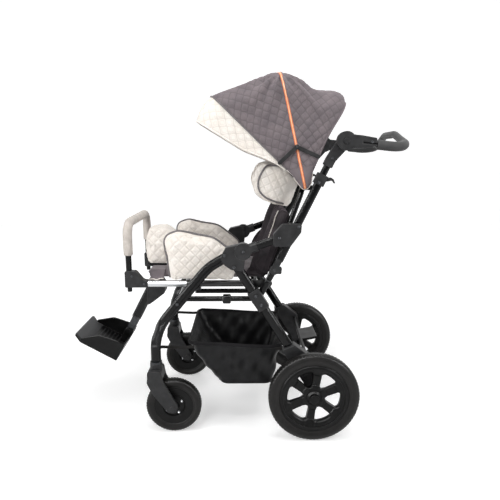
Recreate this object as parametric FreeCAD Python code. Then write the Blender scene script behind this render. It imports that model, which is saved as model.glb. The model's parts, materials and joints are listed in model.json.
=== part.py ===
# Special needs stroller: a folding frame on two rear wheels and two casters, with a
# padded seat, winged headrest, quilted hood, grab bar, leg rest, basket and push handle.
# Units are millimetres. +Z is up, the child faces -X and the left-hand side is -Y.
# Points written (x, z) lie in the side view; X counts from a datum near the seat hinge.
import FreeCAD, Part
import math
import os

V = FreeCAD.Vector
ACROSS = V(0, 1, 0)
UP = V(0, 0, 1)

# Wheels
REAR_WHEEL_D = 304.0
REAR_TYRE_WIDTH = 46.0
REAR_TYRE_HEIGHT = 36.0
WHEEL_TO_LEG = 60.0
REAR_AXLE_X = 215.0
REAR_AXLE_D = 14.0
FRONT_WHEEL_D = 190.0
FRONT_TYRE_WIDTH = 40.0
FRONT_TYRE_HEIGHT = 28.0
FRONT_AXLE_D = 10.0
SWIVEL_X = -317.0
CASTER_TRAIL = 57.0
STEM_D = 12.0
STEM_LENGTH = 44.0
SOCKET_LENGTH = 56.0
WASHER_HEIGHT = 6.0
SPOKES = 6
FIRST_SPOKE_ANGLE = 8.0

# Frame, with the layers counted outwards from the middle plane
LEG_Y = 220.0
LEG_DEPTH = 34.0
LEG_WIDTH = 24.0
LEG_WALL = 2.0
LAYER_GAP = 5.0
UPRIGHT_DEPTH = 28.0
UPRIGHT_WIDTH = 16.0
UPRIGHT_WALL = 2.0
RAIL_D = 22.0
RAIL_INSET = 22.0
CROSS_TUBE_D = 18.0
RUN_GAP = 0.4
FIT_GAP = 0.09
SOCKET_GAP = 0.15

# Side view points of the frame
SHOULDER = (-20.0, 635.0)
REAR_JOINT = (148.0, 696.0)
ELBOW = (84.0, 565.0)
LINK_FOOT = (26.0, 461.0)
FRONT_CROSS = (-238.0, 458.0)
LEG_TOP = (-52.0, 628.0)
LEG_KNEE = (-135.0, 580.0)
LEG_SHIN = (SWIVEL_X, 360.0)
REAR_LEG_TOP = (-44.0, 589.0)
REAR_LEG_FOOT = (200.0, 202.0)
CLAMP = (229.0, 862.0)
HANDLE_PIVOT = (306.0, 987.0)
KNEE_BEND = 160.0
SHIN_BEND = 190.0
HOUSING_WALL = 3.0
PIVOT_R = 28.0
ARM_SOCKET = 22.0
ARM_DEPTH = 27.0
ARM_WIDTH = 18.0
LINK_EYE_R = 17.0
TONGUE_R = 10.0
TONGUE_LENGTH = 42.0
TONGUE_THICK = 7.0
UPRIGHT_START = 36.0
NECK_WIDTH = 20.0
SIDE_RAIL_D = 18.0
SIDE_RAIL_Y = 172.0
BOLT_R = 4.0

# Push handle
POST_REACH = 75.0
POST_INSIDE = 170.0
HANDLE_DISC_R = 30.0
HANDLE_ARM_WIDTH = 22.0
HANDLE_ARM_END = (402.0, 983.0)
HANDLE_CORNER = (510.0, 966.0)
HANDLE_CROWN = (505.0, 1012.0)
HANDLE_CROWN_Y = 60.0
HANDLE_TUBE_D = 22.0
GRIP_D = 34.0
GRIP_START_X = 404.0
HANDLE_BEND = 62.0
CROWN_BEND = 90.0
BUTTON_R = 9.0
BUTTON_PROUD = 3.0
BUTTON_LENGTH = 9.0
BUTTON_TRAVEL = 4.0
KNUCKLE_EXTRA = 2.0
HANDLE_PIN_R = 5.0
HANDLE_PIN_LENGTH = 8.0
LEVER_REACH = (30.0, 4.0)

# Seat
RAIL_Z = 512.0
RAIL_FRONT_X = -363.0
RAIL_REAR_X = 46.0
LEGREST_HINGE_X = -345.0
LEGREST_BAR_D = 16.0
SEAT_BAR_THICK = 14.0
SLIDE_D = 16.0
SLIDE_Y = 140.0
CUSHION_TOP = 552.0
CUSHION_FRONT_X = -346.0
CUSHION_REAR_X = 38.0
GUARD_THICKNESS = 44.0
GUARD_CLEAR = 2.0
POMMEL_WIDTH = 112.0

# Backrest and headrest
BACK_HINGE = (65.0, 515.0)
BACK_TOP = (183.0, 848.0)
BACK_TUBE_D = 19.0
BACK_BEND = 52.0
BACK_PAD_LOW = 28.0
BACK_PAD_HIGH = 250.0
BACK_PAD_THICK = 36.0
HINGE_PLATE = 5.0
HINGE_FOOT = 4.0
HEADREST_WIDTH = 300.0
WING_THICK = 44.0
HEADREST_LOW = 258.0
HEADREST_HIGH = 409.0
HEADREST_DEPTH = 171.0
HEADREST_PLATE = 4.0

# Hood
HOOD_PIVOT = (183.0, 838.0)
HOOD_OUTSET = 2.0
CLOTH = 2.5
HOOD_START_R = 24.0
HOOD_CORNER = 70.0
HOOD_CROWN = 12.0
BOW_D = 6.0
EYE_THICK = 1.8
EYE_STEP = 2.2
EYE_LENGTH = 44.0
EYE_WIDTH = 7.0
HOOD_PIN_R = 3.0
SEAM_GAP = 0.15
REAR_BOW = (67.0, 320.0)
MID_BOW = (102.9, 375.0)
FRONT_BOW = (136.1, 424.0)
VISOR_EDGE = (148.8, 415.0)
STAY_REAR_END = (223.0, 938.0)
STAY_KNUCKLE = (153.0, 969.0)
STAY_FRONT_END = (99.0, 919.0)
STAY_THICK = 4.0
STAY_WIDTH = 13.0

# Grab bar
BUMPER_X = -408.0
BUMPER_TOP = 734.0
BUMPER_TUBE_D = 20.0
BUMPER_PIN_D = 16.0
BUMPER_FOAM_D = 31.0
BUMPER_FOAM_LOW = 611.0
BUMPER_BEND = 46.0
SOCKET_TOP = 558.0
SOCKET_WIDTH = 28.0
PIN_LOW = 485.0

# Leg rest; the hanger's angle is measured down from the horizontal
HANGER_ANGLE = 62.4
HANGER_TOP = (-360.0, 466.0)
HANGER_LENGTH = 140.0
HANGER_DEPTH = 34.0
HANGER_WIDTH = 40.0
HANGER_WALL = 2.5
SLIDER_OUT = 65.0
SLIDER_IN = 110.0
SOLE_LENGTH = 141.0
TOE_LENGTH = 28.0
TOE_RISE = 15.5
FOOTPLATE_WIDTH = 210.0
FOOTPLATE_WALL = 6.0
WING_HEIGHT = 66.0
SOLE_ANGLE = 29.7
HEEL_DROP = 84.0
HEEL_BACK = 7.0
RACK_TEETH = 7
RACK_PITCH = 7.0

# Basket
BASKET_TOP = 306.0
BASKET_FLOOR = 141.0
BASKET_HALF_WIDTH = 188.0
BASKET_TOP_X = (-212.0, 118.0)
BASKET_FLOOR_X = (-102.0, 84.0)
BASKET_FLOOR_INSET = 26.0
STRAP = (18.0, 2.5)
STRAP_REAR_X = 132.0

# Brake
BRAKE_BAR = (197.0, 262.0)
BRAKE_BAR_D = 12.0
PEDAL_WIDTH = 110.0

BOLT_HEAD_R = 5.5
BOLT_HEAD_HEIGHT = 3.5

# Places worked out from the sizes above
LEG_IN = LEG_Y - LEG_WIDTH / 2
LEG_OUT = LEG_Y + LEG_WIDTH / 2
UPRIGHT_OUT = LEG_IN - LAYER_GAP
UPRIGHT_Y = UPRIGHT_OUT - UPRIGHT_WIDTH / 2
UPRIGHT_IN = UPRIGHT_OUT - UPRIGHT_WIDTH
HOUSING_IN = LEG_IN - HOUSING_WALL
HOUSING_OUT = LEG_OUT + HOUSING_WALL
ARM_IN = HOUSING_IN + 6.0
REAR_TRACK = 2 * (LEG_Y + WHEEL_TO_LEG)
REAR_WHEEL_Y = REAR_TRACK / 2
REAR_AXLE_Z = REAR_WHEEL_D / 2
FRONT_AXLE = (SWIVEL_X + CASTER_TRAIL, FRONT_WHEEL_D / 2)
FORK_TOP = FRONT_WHEEL_D + 58.0
LEG_FOOT = (SWIVEL_X, FORK_TOP + WASHER_HEIGHT + RUN_GAP)
RAIL_Y = UPRIGHT_IN - RAIL_INSET
HOOD_HALF_WIDTH = UPRIGHT_IN + HOOD_OUTSET
RAIL_IN = RAIL_Y - RAIL_D / 2
BACK_PAD_WIDTH = 2 * RAIL_Y
RAIL_TOP = RAIL_Z + RAIL_D / 2
CUSHION_LOW = RAIL_TOP + 0.6
GUARD_OUT = UPRIGHT_IN - GUARD_CLEAR - 4.0
GUARD_IN = GUARD_OUT - GUARD_THICKNESS
ARM_Y = (ARM_IN + HOUSING_OUT) / 2
POST_DEPTH = UPRIGHT_DEPTH - 2 * UPRIGHT_WALL - 2 * RUN_GAP
POST_WIDTH = UPRIGHT_WIDTH - 2 * UPRIGHT_WALL - 2 * RUN_GAP
LEVER_PIVOT = (CLAMP[0] + LEVER_REACH[0], CLAMP[1] + LEVER_REACH[1])
HANDLE_IN = UPRIGHT_OUT + KNUCKLE_EXTRA + RUN_GAP
HANDLE_OUT = HANDLE_IN + HANDLE_ARM_WIDTH
HANDLE_Y = (HANDLE_IN + HANDLE_OUT) / 2
STAY_IN = HOOD_HALF_WIDTH + 0.6


def at(point, y):
    """Place a side view point (x, z) at the distance y from the middle plane."""
    return V(point[0], y, point[1])


def step(start, end, distance):
    """Side view point at a distance from start on the way to end."""
    length = math.dist(start, end)
    share = distance / length
    return (start[0] + (end[0] - start[0]) * share, start[1] + (end[1] - start[1]) * share)


def down_hanger(distance, offset=0.0):
    """Side view point down along the hanger's axis, and forwards off it."""
    angle = math.radians(HANGER_ANGLE)
    x, z = HANGER_TOP
    return (x - distance * math.cos(angle) - offset * math.sin(angle),
            z - distance * math.sin(angle) + offset * math.cos(angle))


HANDLE_TURN = step(ELBOW, CLAMP, math.dist(ELBOW, CLAMP) + POST_REACH)
FOOT_PIVOT = down_hanger(HANGER_LENGTH + SLIDER_OUT)


def polar(centre, degrees, radius):
    """Side view point at an angle from +X towards +Z and a radius from a centre."""
    angle = math.radians(degrees)
    return (centre[0] + radius * math.cos(angle), centre[1] + radius * math.sin(angle))


def mirrored(shape):
    """The same shape on the other side of the middle plane."""
    return shape.mirror(V(0, 0, 0), ACROSS)


def both(*shapes):
    """Right-hand shapes together with their left-hand mirror images."""
    return Part.makeCompound(list(shapes) + [mirrored(shape) for shape in shapes])


def corner(before, point, after, radius):
    """Ends and middle of the arc that rounds one corner."""
    back = (before - point).normalize()
    on = (after - point).normalize()
    half = back.getAngle(on) / 2
    reach = radius / math.tan(half)
    bisector = (back + on).normalize()
    centre = point + bisector * (radius / math.sin(half))
    return point + back * reach, centre - bisector * radius, point + on * reach


def rounded_path(points, bends):
    """Straight runs through points, with a tangent arc at each inner point."""
    edges = []
    start = points[0]
    for index, bend in enumerate(bends, 1):
        first, middle, last = corner(points[index - 1], points[index], points[index + 1], bend)
        edges.append(Part.LineSegment(start, first).toShape())
        edges.append(Part.Arc(first, middle, last).toShape())
        start = last
    edges.append(Part.LineSegment(start, points[-1]).toShape())
    return Part.Wire(edges)


def outline(points, radii):
    """Closed wire through points, with its corners rounded; a radius of 0 is sharp."""
    count = len(points)
    radii = radii if isinstance(radii, (list, tuple)) else [radii] * count
    arcs = []
    for index, point in enumerate(points):
        if radii[index]:
            arcs.append(corner(points[index - 1], point, points[(index + 1) % count], radii[index]))
        else:
            arcs.append((point, None, point))
    edges = []
    for index, (first, middle, last) in enumerate(arcs):
        if middle is not None:
            edges.append(Part.Arc(first, middle, last).toShape())
        following = arcs[(index + 1) % count][0]
        if last.distanceToPoint(following) > 1e-6:
            edges.append(Part.LineSegment(last, following).toShape())
    return Part.Wire(edges)


def slab(points, radii, y0, y1, edge=0.0):
    """Plate with a rounded side view outline between two distances from the middle."""
    wire = outline([at(point, y0) for point in points], radii)
    solid = Part.Face(wire).extrude(ACROSS * (y1 - y0))
    if edge:
        rims = [line for line in solid.Edges if line.BoundBox.YLength < 1e-6]
        solid = solid.makeFillet(edge, rims)
    return solid


def disc(point, radius, y0, y1):
    """Cylinder across the stroller between two distances from the middle."""
    return Part.makeCylinder(radius, y1 - y0, at(point, y0), ACROSS)


def turned(profile, radii, point, y):
    """Body of revolution about a cross axis; the profile is (radius, offset) points."""
    wire = outline([V(radius, offset, 0) for radius, offset in profile], radii)
    solid = Part.Face(wire).revolve(V(0, 0, 0), ACROSS, 360)
    solid.translate(at(point, y))
    return solid


def flat_oval(centre, direction, depth, width):
    """Tube section with two flat sides, its depth in the side view, its width across."""
    normal = direction.cross(ACROSS).normalize()
    half = normal * ((depth - width) / 2)
    side = ACROSS * (width / 2)
    cap = normal * (width / 2)
    low, high = centre - half, centre + half
    return Part.Wire([
        Part.LineSegment(high + side, low + side).toShape(),
        Part.Arc(low + side, low - cap, low - side).toShape(),
        Part.LineSegment(low - side, high - side).toShape(),
        Part.Arc(high - side, high + cap, high + side).toShape(),
    ])


def oval_bar(points, bends, y, depth, width):
    """Solid flat-oval bar along a side view path."""
    path = [at(point, y) for point in points]
    section = flat_oval(path[0], path[1] - path[0], depth, width)
    return rounded_path(path, bends).makePipeShell([section], True, False)


def oval_tube(points, bends, y, depth, width, wall):
    """Hollow flat-oval tube along a side view path."""
    outer = oval_bar(points, bends, y, depth, width)
    return outer.cut(oval_bar(points, bends, y, depth - 2 * wall, width - 2 * wall))


def round_bar(points, bends, diameter):
    """Solid round bar along a path in space."""
    section = Part.Wire([Part.makeCircle(diameter / 2, points[0], points[1] - points[0])])
    return rounded_path(points, bends).makePipeShell([section], True, False)


def round_tube(points, bends, diameter, bore):
    """Hollow round tube along a path in space."""
    return round_bar(points, bends, diameter).cut(round_bar(points, bends, bore))


def pad(points, radii, y0, y1, levels):
    """Crowned pad lofted across, flat below; each level is (share of the thickness, of the size)."""
    middle = V(0, 0, 0)
    for point in points:
        middle += at(point, 0) * (1 / len(points))
    base = min(z for x, z in points)
    wires = []
    for depth, size in levels:
        y = y0 + (y1 - y0) * depth
        rim = [middle + (at(point, 0) - middle) * size + ACROSS * y for point in points]
        for point, spot in zip(points, rim):
            spot.z = base if point[1] == base else spot.z
        wires.append(outline(rim, [radius * size for radius in radii]))
    return Part.makeLoft(wires, True, False)


PAD_LEVELS = ((0, 0.72), (0.1, 0.9), (0.3, 0.985), (0.5, 1.0), (0.7, 0.985), (0.9, 0.9), (1, 0.72))


def rear_wheel():
    """Tyre and six-spoke rim of a right-hand rear wheel."""
    centre = (REAR_AXLE_X, REAR_AXLE_Z)
    top = REAR_WHEEL_D / 2
    seat = top - REAR_TYRE_HEIGHT
    half = REAR_TYRE_WIDTH / 2
    tyre = turned([(seat, -half + 6), (top - 16, -half), (top, -half + 7), (top, half - 7),
                   (top - 16, half), (seat, half - 6)], [0, 10, 10, 10, 10, 0], centre, REAR_WHEEL_Y)
    lip = half - 3
    flange = seat - FIT_GAP
    rim = turned([(flange, -half + 5), (flange, half - 5), (flange - 9, lip), (flange - 13, lip),
                  (flange - 15, 6), (flange - 15, -6), (flange - 13, -lip), (flange - 9, -lip)],
                 0, centre, REAR_WHEEL_Y)
    bore = REAR_AXLE_D / 2 + FIT_GAP
    hub = turned([(bore, -27), (20, -27), (25, -14), (25, 14), (19, 20), (bore, 20)],
                 0, centre, REAR_WHEEL_Y)
    web = flange - 12
    for number in range(SPOKES):
        spoke = slab([(-11, 22), (11, 22), (15, web), (-15, web)], 0, -9, 9)
        spoke.rotate(V(0, 0, 0), ACROSS, FIRST_SPOKE_ANGLE + number * 360 / SPOKES)
        spoke.translate(at(centre, REAR_WHEEL_Y))
        rim = rim.fuse(spoke)
    return tyre, rim.fuse(hub).removeSplitter()


def front_wheel():
    """Tyre and dished rim of a right-hand front wheel."""
    top = FRONT_WHEEL_D / 2
    seat = top - FRONT_TYRE_HEIGHT
    half = FRONT_TYRE_WIDTH / 2
    tyre = turned([(seat, -half + 5), (top - 13, -half), (top, -half + 6), (top, half - 6),
                   (top - 13, half), (seat, half - 5)], [0, 8, 9, 9, 8, 0], FRONT_AXLE, LEG_Y)
    flange = seat - FIT_GAP
    bore = FRONT_AXLE_D / 2 + FIT_GAP
    hub_half = half + 3
    rim = turned([(bore, -hub_half), (17, -hub_half), (20, -8), (36, -6), (40, -12), (flange - 6, -14),
                  (flange, -half + 6), (flange, half - 6), (flange - 6, 14), (40, 12), (36, 6), (20, 8),
                  (17, hub_half), (bore, hub_half)], 0, FRONT_AXLE, LEG_Y)
    return tyre, rim


def caster_fork():
    """Right-hand caster fork with its swivel stem, and the axle bolt through it."""
    axle_x, axle_z = FRONT_AXLE
    inner = FRONT_TYRE_WIDTH / 2 + 6
    outer = inner + 9
    crown_low = FRONT_WHEEL_D + 8
    side = [(SWIVEL_X - 23, FORK_TOP - 18), (SWIVEL_X + 20, FORK_TOP - 18), (SWIVEL_X + 27, crown_low - 6),
            (axle_x + 18, axle_z + 6), (axle_x + 9, axle_z - 18), (axle_x - 17, axle_z - 14),
            (SWIVEL_X - 10, axle_z + 54), (SWIVEL_X - 29, crown_low - 10)]
    radii = [5, 5, 14, 12, 10, 10, 24, 18]
    fork = Part.makeCylinder(21, FORK_TOP - crown_low, V(SWIVEL_X, LEG_Y, crown_low), UP)
    crown = slab([(SWIVEL_X - 26, FORK_TOP - 20), (SWIVEL_X + 21, FORK_TOP - 20),
                  (SWIVEL_X + 25, crown_low), (SWIVEL_X - 27, crown_low)], [6, 6, 3, 6],
                 LEG_Y - outer, LEG_Y + outer)
    fork = fork.fuse(crown)
    for sign in (-1, 1):
        near, far = sorted((LEG_Y + sign * inner, LEG_Y + sign * outer))
        fork = fork.fuse(slab(side, radii, near, far))
    stem = Part.makeCylinder(STEM_D / 2, STEM_LENGTH + WASHER_HEIGHT, V(SWIVEL_X, LEG_Y, FORK_TOP), UP)
    fork = fork.fuse(stem).removeSplitter()
    fork = fork.cut(disc(FRONT_AXLE, FRONT_AXLE_D / 2 + FIT_GAP, LEG_Y - outer, LEG_Y + outer))
    bolt = disc(FRONT_AXLE, FRONT_AXLE_D / 2, LEG_Y - outer, LEG_Y + outer)
    for face, end in ((LEG_Y - outer, LEG_Y - outer - 5), (LEG_Y + outer, LEG_Y + outer + 5)):
        bolt = bolt.fuse(disc(FRONT_AXLE, FRONT_AXLE_D, min(face, end), max(face, end)))
    return Part.makeCompound([fork, bolt.removeSplitter()])


def front_leg():
    """Right-hand front leg: a bent oval tube, closed at its foot round the caster stem."""
    points = [LEG_TOP, LEG_KNEE, LEG_SHIN, LEG_FOOT]
    bends = [KNEE_BEND, SHIN_BEND]
    leg = oval_bar(points, bends, LEG_Y, LEG_DEPTH, LEG_WIDTH)
    core_end = (SWIVEL_X, LEG_FOOT[1] + SOCKET_LENGTH)
    short_shin_bend = SHIN_BEND * 0.6
    core = oval_bar([LEG_TOP, LEG_KNEE, LEG_SHIN, core_end], [KNEE_BEND, short_shin_bend], LEG_Y,
                    LEG_DEPTH - 2 * LEG_WALL - 4, LEG_WIDTH - 2 * LEG_WALL)
    bore = Part.makeCylinder(STEM_D / 2 + FIT_GAP, STEM_LENGTH + 2, at(LEG_FOOT, LEG_Y), UP)
    return leg.cut(core).cut(bore)


def front_leg_solid(gap):
    """Room that the front leg takes, widened by a gap."""
    return oval_bar([LEG_TOP, LEG_KNEE, LEG_SHIN, LEG_FOOT], [KNEE_BEND, SHIN_BEND], LEG_Y,
                    LEG_DEPTH + 2 * gap, LEG_WIDTH + 2 * gap)


def rear_leg_solid(gap):
    """Room that the rear leg takes, widened by a gap."""
    return oval_bar([REAR_LEG_TOP, REAR_LEG_FOOT], [], LEG_Y, LEG_DEPTH - 2 + 2 * gap, LEG_WIDTH + 2 * gap)


def rear_leg():
    """Right-hand rear leg: a straight oval tube."""
    return oval_tube([REAR_LEG_TOP, REAR_LEG_FOOT], [], LEG_Y, LEG_DEPTH - 2, LEG_WIDTH, LEG_WALL)


def shoulder_housing():
    """Right-hand shoulder: holds both legs, with a round seat for the armrest's end."""
    x, z = SHOULDER
    body = slab([(x - 74, z - 22), (x - 56, z + 14), (x - 20, z + 22), (x + 6, z + 22), (x + 6, z - 30),
                 (x + 2, z - 66), (x - 40, z - 60), (x - 62, z - 44)],
                [8, 12, 14, 4, 10, 6, 8, 10], HOUSING_IN, HOUSING_OUT, 2)
    seat = disc(SHOULDER, PIVOT_R + RUN_GAP, ARM_IN - RUN_GAP, HOUSING_OUT + 1)
    body = body.cut(seat).cut(front_leg_solid(SOCKET_GAP)).cut(rear_leg_solid(SOCKET_GAP))
    body = body.cut(disc(SHOULDER, BOLT_R + FIT_GAP, HOUSING_IN - 1, HOUSING_OUT))
    return max(body.Solids, key=lambda solid: solid.Volume)


def armrest_tube():
    """Right-hand armrest tube between the shoulder and the rear joint."""
    start = step(SHOULDER, REAR_JOINT, ARM_SOCKET)
    end = step(REAR_JOINT, SHOULDER, ARM_SOCKET - 4)
    return oval_tube([start, end], [], ARM_Y, ARM_DEPTH, ARM_WIDTH, LEG_WALL)


def armrest_room():
    """Room for the armrest tube inside its two end pieces."""
    return oval_bar([step(SHOULDER, REAR_JOINT, ARM_SOCKET), step(REAR_JOINT, SHOULDER, ARM_SOCKET - 4)],
                    [], ARM_Y, ARM_DEPTH + 2 * SOCKET_GAP, ARM_WIDTH + 2 * SOCKET_GAP)


def armrest_end():
    """Right-hand round end of the armrest, which turns in the shoulder."""
    sleeve = step(SHOULDER, REAR_JOINT, ARM_SOCKET + 26)
    end = oval_bar([SHOULDER, sleeve], [], ARM_Y, ARM_DEPTH + 7, HOUSING_OUT - ARM_IN)
    end = end.fuse(disc(SHOULDER, PIVOT_R, ARM_IN, HOUSING_OUT)).removeSplitter()
    pin_hole = disc(SHOULDER, BOLT_R + FIT_GAP, ARM_IN - 1, HOUSING_OUT + 1)
    return end.cut(armrest_room()).cut(pin_hole)


def rear_joint_cover():
    """Right-hand cover at the rear of the armrest, with the boss that faces the upright."""
    x, z = REAR_JOINT
    body = slab([(x - 70, z - 45), (x - 70, z - 4), (x - 40, z + 30), (x + 22, z + 30), (x + 20, z + 2),
                 (x - 14, z - 45)], [8, 12, 14, 8, 12, 14], ARM_IN, HOUSING_OUT, 2)
    boss = disc(REAR_JOINT, 10, UPRIGHT_OUT + RUN_GAP, ARM_IN)
    return body.fuse(boss).removeSplitter().cut(armrest_room())


def lower_link():
    """Right-hand lower link: an eye on the rear cross tube and a tongue in the elbow."""
    eye = disc(LINK_FOOT, LINK_EYE_R, UPRIGHT_IN, UPRIGHT_OUT)
    neck = step(ELBOW, LINK_FOOT, TONGUE_LENGTH)
    bar = oval_bar([LINK_FOOT, neck], [], UPRIGHT_Y, UPRIGHT_DEPTH - 4, UPRIGHT_WIDTH)
    tongue_half = TONGUE_THICK / 2
    tongue = disc(ELBOW, TONGUE_R, UPRIGHT_Y - tongue_half, UPRIGHT_Y + tongue_half)
    web = strip(ELBOW, step(ELBOW, LINK_FOOT, TONGUE_LENGTH + 6), 2 * TONGUE_R,
                UPRIGHT_Y - tongue_half, UPRIGHT_Y + tongue_half)
    link = eye.fuse(bar).fuse(web).fuse(tongue).removeSplitter()
    foot_bore = disc(LINK_FOOT, CROSS_TUBE_D / 2 + FIT_GAP, UPRIGHT_IN - 1, UPRIGHT_OUT + 1)
    pin_bore = disc(ELBOW, BOLT_R + FIT_GAP, UPRIGHT_IN, UPRIGHT_OUT)
    return link.cut(foot_bore).cut(pin_bore)


def strip(start, end, width, y0, y1):
    """Straight plate of a width from one side view point to another."""
    length = math.dist(start, end)
    along = ((end[0] - start[0]) / length, (end[1] - start[1]) / length)
    shift = (-along[1] * width / 2, along[0] * width / 2)
    points = [(start[0] + shift[0], start[1] + shift[1]), (end[0] + shift[0], end[1] + shift[1]),
              (end[0] - shift[0], end[1] - shift[1]), (start[0] - shift[0], start[1] - shift[1])]
    return slab(points, 0, y0, y1)


def upright():
    """Right-hand upright: the outer tube of the push frame, with the hood's bracket welded on."""
    ends = [step(ELBOW, CLAMP, UPRIGHT_START), CLAMP]
    outer = oval_bar(ends, [], UPRIGHT_Y, UPRIGHT_DEPTH,
                     UPRIGHT_WIDTH).fuse(hood_bracket()).removeSplitter()
    bore = oval_bar(ends, [], UPRIGHT_Y, UPRIGHT_DEPTH - 2 * UPRIGHT_WALL, UPRIGHT_WIDTH - 2 * UPRIGHT_WALL)
    return outer.cut(bore)


def elbow_block():
    """Right-hand forked plug in the foot of the upright, with the elbow pin and a rear lug."""
    plug_end = step(ELBOW, CLAMP, UPRIGHT_START + 30)
    plug = oval_bar([step(ELBOW, CLAMP, UPRIGHT_START - 2), plug_end], [], UPRIGHT_Y,
                    UPRIGHT_DEPTH - 2 * UPRIGHT_WALL - 2 * SOCKET_GAP,
                    UPRIGHT_WIDTH - 2 * UPRIGHT_WALL - 2 * SOCKET_GAP)
    neck = strip(ELBOW, step(ELBOW, CLAMP, UPRIGHT_START), NECK_WIDTH, UPRIGHT_IN, UPRIGHT_OUT)
    head = disc(ELBOW, 15, UPRIGHT_IN, UPRIGHT_OUT)
    lug = slab([(ELBOW[0] + 2, ELBOW[1] + 12), (ELBOW[0] + 26, ELBOW[1] + 10),
                (ELBOW[0] + 24, ELBOW[1] - 12), (ELBOW[0] + 4, ELBOW[1] - 12)], [0, 4, 4, 0], UPRIGHT_IN,
               UPRIGHT_OUT)
    block = neck.fuse(head).fuse(lug).removeSplitter()
    slot_half = TONGUE_THICK / 2 + RUN_GAP
    slot = disc(ELBOW, 30, UPRIGHT_Y - slot_half, UPRIGHT_Y + slot_half)
    keep = strip(step(ELBOW, CLAMP, UPRIGHT_START - 10), step(ELBOW, CLAMP, UPRIGHT_START), NECK_WIDTH,
                 UPRIGHT_IN, UPRIGHT_OUT)
    block = block.cut(slot.cut(keep))
    pin = disc(ELBOW, BOLT_R, UPRIGHT_IN, UPRIGHT_OUT)
    return block.fuse(plug).fuse(pin).removeSplitter()


def height_clamp():
    """Right-hand clamp round the top of the upright, with an ear for its lever."""
    low = step(CLAMP, ELBOW, 14)
    high = step(CLAMP, HANDLE_TURN, 22)
    y0, y1 = UPRIGHT_IN - HOUSING_WALL, UPRIGHT_OUT + HOUSING_WALL
    body = strip(low, high, UPRIGHT_DEPTH + 8, y0, y1)
    ear = disc(LEVER_PIVOT, 6, UPRIGHT_Y - 5, UPRIGHT_Y + 5)
    arm = strip(CLAMP, LEVER_PIVOT, 12, UPRIGHT_Y - 5, UPRIGHT_Y + 5)
    body = body.fuse(arm).fuse(ear).removeSplitter()
    tube_room = oval_bar([step(CLAMP, ELBOW, 60), CLAMP], [], UPRIGHT_Y,
                         UPRIGHT_DEPTH + 2 * SOCKET_GAP, UPRIGHT_WIDTH + 2 * SOCKET_GAP)
    post_room = oval_bar([step(CLAMP, ELBOW, 10), step(CLAMP, HANDLE_TURN, 40)], [], UPRIGHT_Y,
                         POST_DEPTH + 2 * RUN_GAP, POST_WIDTH + 2 * RUN_GAP)
    body = body.cut(tube_room).cut(post_room)
    pin_bore = disc(LEVER_PIVOT, 2 + FIT_GAP, UPRIGHT_Y - 6, UPRIGHT_Y + 6)
    return body.cut(pin_bore)


def clamp_lever():
    """Right-hand quick lever: a hooked tongue with its pin, forked round the ear."""
    x, z = LEVER_PIVOT
    lever = slab([(x - 5, z - 2), (x - 3, z + 5), (x + 6, z + 6), (x + 14, z), (x + 19, z - 12),
                  (x + 16, z - 13), (x + 11, z - 5), (x + 3, z - 4)], [2, 3, 3, 5, 1, 1, 4, 3],
                 UPRIGHT_Y - 9, UPRIGHT_Y + 9)
    ear_room = disc(LEVER_PIVOT, 7, UPRIGHT_Y - 5 - RUN_GAP, UPRIGHT_Y + 5 + RUN_GAP)
    return lever.cut(ear_room).fuse(disc(LEVER_PIVOT, 2, UPRIGHT_Y - 9, UPRIGHT_Y + 9)).removeSplitter()


def handle_post():
    """Right-hand inner post, which slides in the upright."""
    return oval_tube([step(CLAMP, ELBOW, POST_INSIDE), HANDLE_TURN], [], UPRIGHT_Y, POST_DEPTH,
                     POST_WIDTH, UPRIGHT_WALL)


def handle_base():
    """Right-hand knuckle on top of the post, with the pin that the handle turns on."""
    x, z = HANDLE_TURN
    px, pz = HANDLE_PIVOT
    along = math.atan2(CLAMP[1] - ELBOW[1], CLAMP[0] - ELBOW[0])
    back = (math.sin(along), -math.cos(along))
    low = step(HANDLE_TURN, CLAMP, 24)
    half = POST_DEPTH / 2 + 4
    body = slab([(low[0] - back[0] * half, low[1] - back[1] * half),
                 (x - back[0] * half, z - back[1] * half), (px - 22, pz + 6), (px + 8, pz + 20),
                 (px + 20, pz - 10), (x + back[0] * half, z - back[1] * -half),
                 (low[0] + back[0] * half, low[1] + back[1] * half)], [3, 8, 10, 12, 12, 8, 3],
                UPRIGHT_IN - KNUCKLE_EXTRA, UPRIGHT_OUT + KNUCKLE_EXTRA)
    room = oval_bar([step(HANDLE_TURN, CLAMP, 40), HANDLE_TURN], [], UPRIGHT_Y, POST_DEPTH + 2 * SOCKET_GAP,
                    POST_WIDTH + 2 * SOCKET_GAP)
    pin = disc(HANDLE_PIVOT, HANDLE_PIN_R, UPRIGHT_OUT, HANDLE_IN + HANDLE_PIN_LENGTH)
    return body.cut(room).fuse(pin).removeSplitter()


def handle_path(start_x):
    """Centre line of the arched handle, from the right-hand arm to the left-hand one."""
    run = (start_x - HANDLE_PIVOT[0]) / (HANDLE_CORNER[0] - HANDLE_PIVOT[0])
    start = V(start_x, HANDLE_Y, HANDLE_PIVOT[1] + (HANDLE_CORNER[1] - HANDLE_PIVOT[1]) * run)
    right = [start, at(HANDLE_CORNER, HANDLE_Y), at(HANDLE_CROWN, HANDLE_CROWN_Y)]
    left = [V(point.x, -point.y, point.z) for point in reversed(right)]
    return right + left, [HANDLE_BEND, CROWN_BEND, CROWN_BEND, HANDLE_BEND]


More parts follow.
